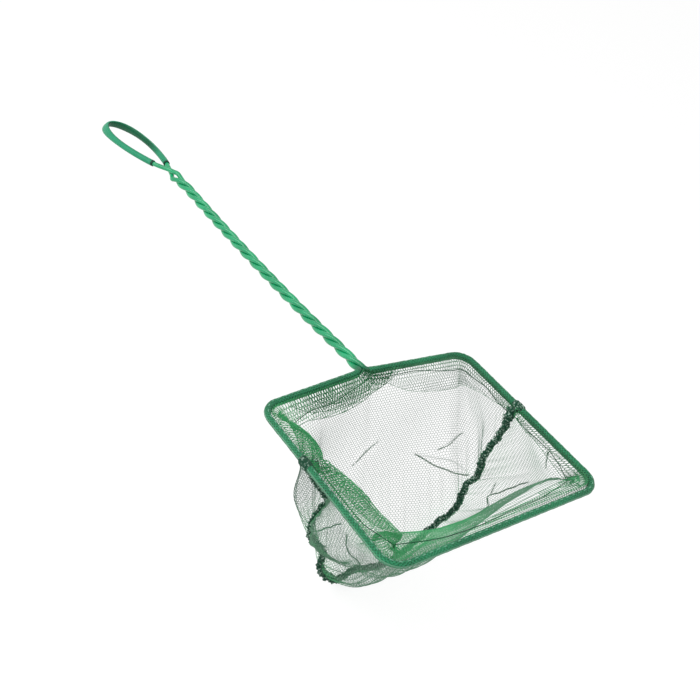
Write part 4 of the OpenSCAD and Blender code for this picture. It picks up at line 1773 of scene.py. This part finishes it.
@dataclass(frozen=True)
class Hem:
    """Netting folded over the wire and sewn shut below it."""

    sides: int = 28
    step: float = 0.8
    tail: float = 0.7
    tail_angle: float = 38.0
    end_l: float = 1.2
    least_t: float = 0.12
    second_row: float = 150.0
    folds: tuple[Wave, ...] = (Wave(0.05, 0.9, 2), Wave(0.04, 2.3, -1), Wave(0.03, 0.31))
    finish: HemCloth = HemCloth()

    def sleeve(self, path: Array) -> Shape:
        """A walled sleeve with a small tail where its two edges are sewn together.

        Its outer radius is the hem's, plus the tail times cos^10 of the angle from the tail,
        plus slow waves along the wire. The tail points in and down. One row of painted highlights, pale
        dots, lies along the tail, and a fainter one on the crown.

        Args:
            path: the wire under the hem.

        Returns:
            The sleeve, with its rows of painted highlights as stitch_row.
        """
        even = resampled(path, int(lengths(path)[-1] / self.step))
        run, turn = lengths(even)[:, None], circle(self.sides)
        _, a, _ = path_frame(even, UP)
        inward = np.sign((a * -even).sum(axis=1))[:, None]
        angle = np.radians(np.where(inward > 0, -self.tail_angle, 180 + self.tail_angle))
        tail = self.tail * np.maximum(0.0, np.cos(turn - angle)) ** 10
        ends = ease(from_ends(run) / self.end_l)
        folds = summed(self.folds, run, turn)
        r = NET.hem_in_r + self.least_t + (NET.hem_t - self.least_t + tail + folds) * ends
        # Painted highlights: a row along the tail and a fainter one on the crown
        below = np.exp(-(1 - np.cos(turn - angle)) / 0.03)
        beside = np.exp(-(1 - np.cos(turn - angle - math.radians(self.second_row))) / 0.02)
        return round_sleeve(even, r, NET.hem_in_r, {"stitch_row": np.maximum(below, 0.4 * beside) * ends})

    def build(self) -> dict[str, Piece]:
        """Makes the three hems.

        Returns:
            Each hem by the name of the solid it stands for.
        """
        return {node: put(node.replace("hem", "folded_hem"), self.sleeve(route), self.finish, [node])
                for node, route in WireLine.hems().items()}


@dataclass(frozen=True)
class Seam:
    """The gathered seam between the two panels, and the bar tacks at its ends.

    The roll swells at its ends and thins about a share of its length. The bumps are on the
    roll and the sway on the frill of cut edges beside it, and the zigzag and its slack are
    the thread of a tack.
    """

    sides: int = 22
    steps: int = 760
    swell: float = 0.6
    swell_reach: float = 10.0
    thinned: float = 0.3
    thin_at: float = 0.2
    thin_reach: float = 0.13
    roll_wide: float = 1.15
    roll_high: float = 0.85
    tack_sides: int = 48
    tack_steps: int = 60
    tack_bulge: float = 0.7
    tack_bulge_reach: float = 2.2
    frill: float = 3.0
    frill_fullness: float = 1.25
    frill_pitch: float = 1.5
    frill_yarn: float = 0.22
    frill_rows: int = 13
    frill_steps: int = 900
    wander: tuple[Wave, ...] = (Wave(0.35, 0.8), Wave(0.35, 0.55, phase=1.0),
                                Wave(0.35, 1.1, phase=math.pi / 2))
    bumps: tuple[Wave, ...] = (Wave(0.16, 2.1, 2), Wave(0.12, 3.7, -3, 1.0), Wave(0.1, 0.7, 1),
                               Wave(0.08, 5.3, 5))
    sway: tuple[Wave, ...] = (Wave(1.1, 1.5, sway=1.3, sway_rate=0.23), Wave(0.7, 2.9, phase=1.0))
    zigzag: Wave = Wave(0.16, 4.2, sway=0.8, sway_rate=3.0)
    slack: Wave = Wave(0.08, 1.7, 2)
    finish: SeamCloth = SeamCloth()

    def roll(self) -> Shape:
        """The rolled seam, a bumpy sweep that runs into both tacks.

        Its radius is the seam's, times 1 plus waves of several lengths round and along it.
        It is thicker near the tacks and thinner down the left side.

        Returns:
            The roll.
        """
        reach = np.array([[NET.half_w - NET.tack_r + 0.4, 0.0, -0.7]])
        left, right = [reach * (side.value, 1.0, 1.0) + WireLine.tack(side) * TO_HANDLE for side in Side]
        path = softened(resampled(np.vstack([left, SeamLine.curve(), right]), self.steps), 4)
        run, turn = lengths(path)[:, None], circle(self.sides)
        path = path + np.hstack([wave.at(run) for wave in self.wander]) * ease(from_ends(run) / 8)
        from_tack, share = from_ends(run), run / run[-1]
        thick = (1 + self.swell * bell(from_tack, self.swell_reach))
        thick = thick * (1 - self.thinned * bell(share - self.thin_at, self.thin_reach))
        r = NET.seam_r * 1.08 * (1 + summed(self.bumps, run, turn)) * thick
        r = r * (0.35 + 0.65 * ease(from_tack / 1.6))
        side, rise = r * np.cos(turn) * self.roll_wide, r * np.sin(turn) * self.roll_high
        return rounded_bar(path, TO_HANDLE, side, rise)

    def ruffle(self) -> Shape:
        """The cut edges of both panels beside the roll: a wavy strip of dense mesh.

        It stands off the seam towards the bag's inside, and waves to and fro across the seam.

        Returns:
            The strip's yarns.
        """
        path = softened(resampled(SeamLine.curve(), self.frill_steps), 4)
        along, out, _ = path_frame(path, TO_HANDLE)
        inside = np.array([0.0, NET.seam_y, -40.0])
        inward = np.sign((out * (inside - path)).sum(axis=1))[:, None] * out
        run = lengths(path)
        s = np.linspace(0.0, 1.0, self.frill_rows)[:, None]
        height = self.frill * (0.75 + 0.25 * np.sin(run * 0.37)) * s + 0.8
        sway = summed(self.sway, run, run) * s
        grid = path + height[..., None] * inward + sway[..., None] * TO_HANDLE
        flat, edges = lattice(float(run[-1]) * self.frill_fullness, self.frill, self.frill_pitch)
        t, at = flat[:, 0] / flat[:, 0].max(), flat[:, 1] / self.frill
        edges = edges[((at <= 1.0) & (t > 0.02) & (t < 0.98))[edges].all(axis=1)]
        across = [bilinear(np.repeat(v[None], self.frill_rows, axis=0), t, at) for v in (along, inward)]
        return yarns(bilinear(grid, t, at), unit(np.cross(*across)), edges, self.frill_yarn)

    def tack(self, side: Side) -> Shape:
        """A bar tack: a sleeve of zigzag thread round the hem, bulged where the seam comes in.

        Its radius is the hem's, plus |sin| ridges of thread and a bulge on its lower side.

        Args:
            side: the side of the mouth.

        Returns:
            The sleeve.
        """
        rows = np.linspace(-NET.tack_l / 2, NET.tack_l / 2, self.tack_steps + 1)[:, None]
        turn = circle(self.tack_sides)
        ends = ease((NET.tack_l / 2 - np.abs(rows)) / 1.3)
        thread = np.abs(self.zigzag.at(rows, turn)) + self.slack.at(rows, turn)
        bulge = self.tack_bulge * np.maximum(0.0, -np.sin(turn)) * bell(rows, self.tack_bulge_reach)
        bore = NET.hem_r + NET.soft_gap
        r = bore + 0.12 + (NET.tack_t - 0.1 + thread + bulge) * ends
        return round_sleeve(WireLine.tack(side) + rows * TO_HANDLE, r, bore, {})

    def build(self) -> list[Piece]:
        """Makes the seam and both tacks.

        Returns:
            The three pieces, the seam first.
        """
        both = Shape.joined([self.roll(), self.ruffle()])
        pieces = [put("gathered_seam", both, self.finish, ["bag_seam"])]
        for side in Side:
            label = side.name.lower()
            name = f"bar_tack_thread_{label}"
            pieces.append(put(name, self.tack(side), self.finish, [f"bar_tack_{label}"]))
        return pieces


@dataclass(frozen=True)
class Stitching:
    """Rows of short stitches on the hem's crown and on the seam."""

    rings: int = 7
    sides: int = 8
    dip: float = 0.12
    finish: SewingThread = SewingThread()

    def row(self, path: Array, step: float, lift: float, up: Array) -> Shape:
        """Stitches along a path.

        Each is a rounded bar: its radius is the thread's times the square root of
        1 - q^6 with q from -1 to 1 along it, and it dips at both ends.

        Args:
            path: the line that is sewn.
            step: greatest distance between stitches.
            lift: height of the thread's middle over the line.
            up: the direction of that height.

        Returns:
            All the stitches as one shape.
        """
        spare = lengths(path)[-1] - 2 * NET.tack_l
        count = int(spare / step)
        at = NET.tack_l + spare * np.arange(count + 1) / count
        along = unit(walk(path, at + 0.5) - walk(path, at - 0.5))
        a = unit(np.cross(along, up))
        middle, a, b, along = [v[:, None, None] for v in (walk(path, at), a, np.cross(a, along), along)]
        q = np.linspace(-1.0, 1.0, self.rings)[None, :, None, None]
        turn = circle(self.sides)[..., None]
        r = NET.thread_d / 2 * np.sqrt(np.maximum(0.02, 1 - q ** 6))
        points = (middle + q * NET.stitch_l / 2 * along + (lift - self.dip * q ** 2 + r * np.sin(turn)) * b
                  + r * np.cos(turn) * a)
        single = grid_shape(np.zeros((self.rings, self.sides, 3)), np.linspace(0, NET.stitch_l, self.rings),
                            np.linspace(0, 1.5, self.sides + 1), {})
        faces = (np.arange(count + 1) * self.rings * self.sides)[:, None, None] + single.faces[None]
        return Shape(points.reshape(-1, 3), faces.reshape(-1, 4), np.tile(single.uvs, (count + 1, 1, 1)))

    def build(self) -> None:
        """Makes both sets of stitches."""
        over = (NET.soft_gap + NET.thread_d) / 2
        routes = WireLine.hems().values()
        rows = [self.row(route, NET.stitch_pitch, NET.hem_r + over, UP) for route in routes]
        put("hem_stitching", Shape.joined(rows), self.finish, ["hem_stitches"])
        row = self.row(SeamLine.curve(), NET.seam_stitch_pitch, NET.seam_r + over, TO_HANDLE)
        put("seam_stitching", row, self.finish, ["seam_stitches"])


@dataclass(frozen=True)
class Lamp:
    """A square soft lamp, placed from the point it lights along the camera's own axes, in metres."""

    name: str
    watts: float
    size: float
    right: float
    up: float
    back: float
    reach: float

    def build(self, axes: Matrix, aim: Vector) -> None:
        """Makes the lamp, aimed at its point.

        Args:
            axes: the camera's right, up and backward, as columns.
            aim: the point that it lights.
        """
        data = bpy.data.lights.new(self.name, "AREA")
        data.energy, data.size = self.watts, self.size
        away = (axes.col[2] * self.back + axes.col[1] * self.up + axes.col[0] * self.right) * self.reach
        turn = (-away).to_track_quat("-Z", "Y").to_matrix().to_4x4()
        linked(self.name, data).matrix_world = Matrix.Translation(aim + away) @ turn


@dataclass(frozen=True)
class Studio:
    """Plain white floor, soft light and the camera of the photograph."""

    camera_turn: tuple[float, float, float] = (2.20194729, -0.55245727, 0.59011941)
    camera_move: tuple[float, float, float] = (45.3667, 53.7926, 589.5043)
    focal_pixels: float = 1068.27
    frame_pixels: float = 700.0
    sensor: float = 36.0
    aim: tuple[float, float, float] = (0.0, 0.0, 0.1)
    lamps: tuple[Lamp, ...] = (Lamp("key_light", 8.0, 0.9, -0.55, 0.65, 0.75, 1.1),
                               Lamp("fill_light", 2.5, 1.2, 0.8, -0.1, 0.6, 1.3))
    world_light: float = 0.5
    floor_reach: float = 9.0
    floor_gap: float = 0.0005
    floor_glow: float = 1.17
    floor_glow_share: float = 0.72

    def pose(self) -> tuple[Matrix, Vector]:
        """The camera's axes and place, from the fitted turn and move.

        Returns:
            A rotation whose columns are the camera's right, up and backward, and its place.
        """
        turn = Vector(self.camera_turn)
        seen = Matrix.Rotation(turn.length, 3, turn.normalized())
        place = -(seen.transposed() @ Vector(self.camera_move))
        right, down, ahead = seen[0], seen[1], seen[2]
        axes = Matrix((right, -down, -ahead)).transposed()
        return axes, (place + Vector(NET.shift)) * MM

    def camera(self) -> None:
        """Makes the camera and sets it as the scene's."""
        data = bpy.data.cameras.new("photo_view")
        data.sensor_width = self.sensor
        data.lens = self.sensor * self.focal_pixels / self.frame_pixels
        data.clip_start, data.clip_end = 0.02, 60.0
        axes, place = self.pose()
        camera = linked("photo_view", data)
        camera.matrix_world = Matrix.Translation(place) @ axes.to_4x4()
        bpy.context.scene.camera = camera

    @staticmethod
    def seen(g: Graph) -> Socket:
        """What the camera sees, straight, in gloss or through glass.

        Args:
            g: the graph that asks.

        Returns:
            1 for a ray that the camera sees, and 0 for any other.
        """
        rays = g.add("ShaderNodeLightPath").outputs
        near = g.maths("MAXIMUM", rays["Is Camera Ray"], rays["Is Glossy Ray"])
        return g.maths("MAXIMUM", near, rays["Is Transmission Ray"])

    def world(self) -> None:
        """A surround that looks white and lights the object softly."""
        world = bpy.data.worlds.new("white_surround")
        g = Graph.of(world)
        strength = g.between(self.seen(g), self.world_light, 1)
        back = g.add("ShaderNodeBackground", {"Color": WHITE, "Strength": strength})
        g.add("ShaderNodeOutputWorld", {0: back.outputs[0]})
        bpy.context.scene.world = world

    def floor(self, height: float) -> None:
        """A wide floor that shows white and keeps a faint shadow.

        Args:
            height: its height, in metres.
        """
        mesh = bpy.data.meshes.new("floor")
        signs = ((-1, -1), (1, -1), (1, 1), (-1, 1))
        corners = [(self.floor_reach * x, self.floor_reach * y, height) for x, y in signs]
        mesh.from_pydata(corners, [], [(0, 1, 2, 3)])
        floor = linked("floor", mesh)
        made = bpy.data.materials.new("white_floor")
        g = Graph.of(made)
        matt = g.add("ShaderNodeBsdfDiffuse", {"Color": (0.9, 0.9, 0.9, 1.0)})
        glow = g.add("ShaderNodeEmission", {"Color": WHITE, "Strength": self.floor_glow})
        both = g.add("ShaderNodeMixShader", {0: g.scaled(self.seen(g), self.floor_glow_share),
                                             1: matt.outputs[0], 2: glow.outputs[0]})
        g.add("ShaderNodeOutputMaterial", {0: both.outputs[0]})
        mesh.materials.append(made)
        floor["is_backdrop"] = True

    def build(self) -> None:
        """Sets the stage: camera, lamps, surround, floor and colour view."""
        self.camera()
        axes, _ = self.pose()
        for lamp in self.lamps:
            lamp.build(axes, Vector(self.aim))
        self.world()
        self.floor(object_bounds()[0][2] - self.floor_gap)
        bpy.context.scene.view_settings.view_transform = "Standard"


BACK_CREASES = (
    Crease((0.786, 0.572), (0.694, 0.55)),
    Crease((0.631, 0.5), (0.808, 0.956)),
    Crease((0.45, 0.433), (0.517, 0.333)),
)
FRONT_CREASES = (
    Crease((0.873, 0.033), (0.827, 0.15)),
    Crease((0.681, 0.64), (0.759, 0.794)),
    Crease((0.759, 0.794), (0.795, 0.744)),
    Crease((0.764, 0.772), (0.789, 0.417)),
    Crease((0.218, 0.95), (0.308, 0.843)),
    Crease((0.172, 0.463), (0.19, 0.827)),
    Crease((0.202, 0.45), (0.315, 0.627)),
)

# Width of the edge turned under along the hem, and of the pleats inside the mouth
BACK_TURN = ((0, 5), (0.1, 6.5), (0.19, 8), (0.28, 6), (0.36, 7), (0.45, 4), (0.5, 3), (0.547, 2.9),
             (0.633, 2.6), (0.744, 5.7), (0.833, 5.2), (0.9, 3), (0.959, 8), (1, 4))
FRONT_TURN = ((0, 1.2), (0.04, 0.35), (0.12, 0.3), (0.175, 0.45), (0.215, 2), (0.25, 3.6), (0.28, 3.8),
              (0.322, 3.2), (0.384, 2), (0.464, 1.6), (0.544, 2.4), (0.652, 2), (0.72, 3.5), (0.783, 6),
              (0.816, 4.2), (0.866, 2.5), (0.92, 3), (0.955, 6), (1, 3))
BACK_PLEATS = (
    Layer(((0, 3), (0.06, 12), (0.13, 13), (0.2, 9), (0.26, 9), (0.32, 12), (0.4, 14), (0.46, 12), (0.5, 9),
           (0.55, 5), (0.6, 0), (1, 0))),
    Layer(((0, 0), (0.22, 0), (0.28, 7), (0.36, 10), (0.43, 11), (0.48, 9), (0.53, 7), (0.57, 0), (1, 0)),
          pitch=1.95, dark=0.4),
    Layer(((0, 0), (0.26, 0), (0.31, 4), (0.38, 8), (0.44, 8), (0.49, 7), (0.52, 0), (1, 0)),
          pitch=1.76, dark=0.4),
    Layer(((0, 0), (0.5, 0), (0.54, 6), (0.6, 12), (0.68, 15), (0.74, 16), (0.8, 14), (0.88, 8), (0.96, 5),
           (1, 3)),
          yarn=0.2, pitch=1.9, bunched=0.2, dark=0.35, edge=0.22),
    Layer(((0, 0), (0.46, 0), (0.485, 5), (0.51, 6), (0.54, 4), (0.57, 0), (1, 0)),
          yarn=0.5, pitch=1.8, dark=0.7),
)
FRONT_PLEATS = (
    Layer(((0, 6), (0.05, 14), (0.1, 20), (0.2, 22), (0.24, 18), (0.29, 0), (1, 0)), yarn=0.26, pitch=1.75),
    Layer(((0, 4), (0.04, 11), (0.08, 15), (0.11, 12), (0.15, 0), (1, 0)), yarn=0.25, pitch=1.75),
    Layer(((0, 0), (0.68, 0), (0.74, 4), (0.79, 7), (0.83, 6), (0.9, 4), (0.96, 5), (1, 3)),
          yarn=0.28, pitch=2.0, bunched=0.5, dark=0.35, edge=0.3),
    Layer(((0, 0), (0.42, 0), (0.5, 2.2), (0.58, 3), (0.66, 3.4), (0.72, 4), (0.77, 4), (0.82, 0), (1, 0)),
          yarn=0.37, pitch=1.9, bunched=0.8, dark=0.1, edge=0.24),
)


def main() -> None:
    """Builds every sub-assembly in order, then the studio."""
    logging.basicConfig(level=logging.INFO, format="%(name)s: %(message)s")
    CoatedWire().build()
    HangingLoop().build()
    hems = Hem().build()
    seam = Seam().build()
    NetPanel(Half.BACK, BACK_CREASES, BACK_TURN, BACK_PLEATS).build(
        "netting_back", ["net_panel_back"], [hems["hem_back_left"], hems["hem_back_right"]])
    NetPanel(Half.FRONT, FRONT_CREASES, FRONT_TURN, FRONT_PLEATS).build(
        "netting_front", ["net_panel_front"], [hems["hem_front"], *seam])
    Stitching().build()
    Studio().build()


if __name__ == "__main__":
    main()
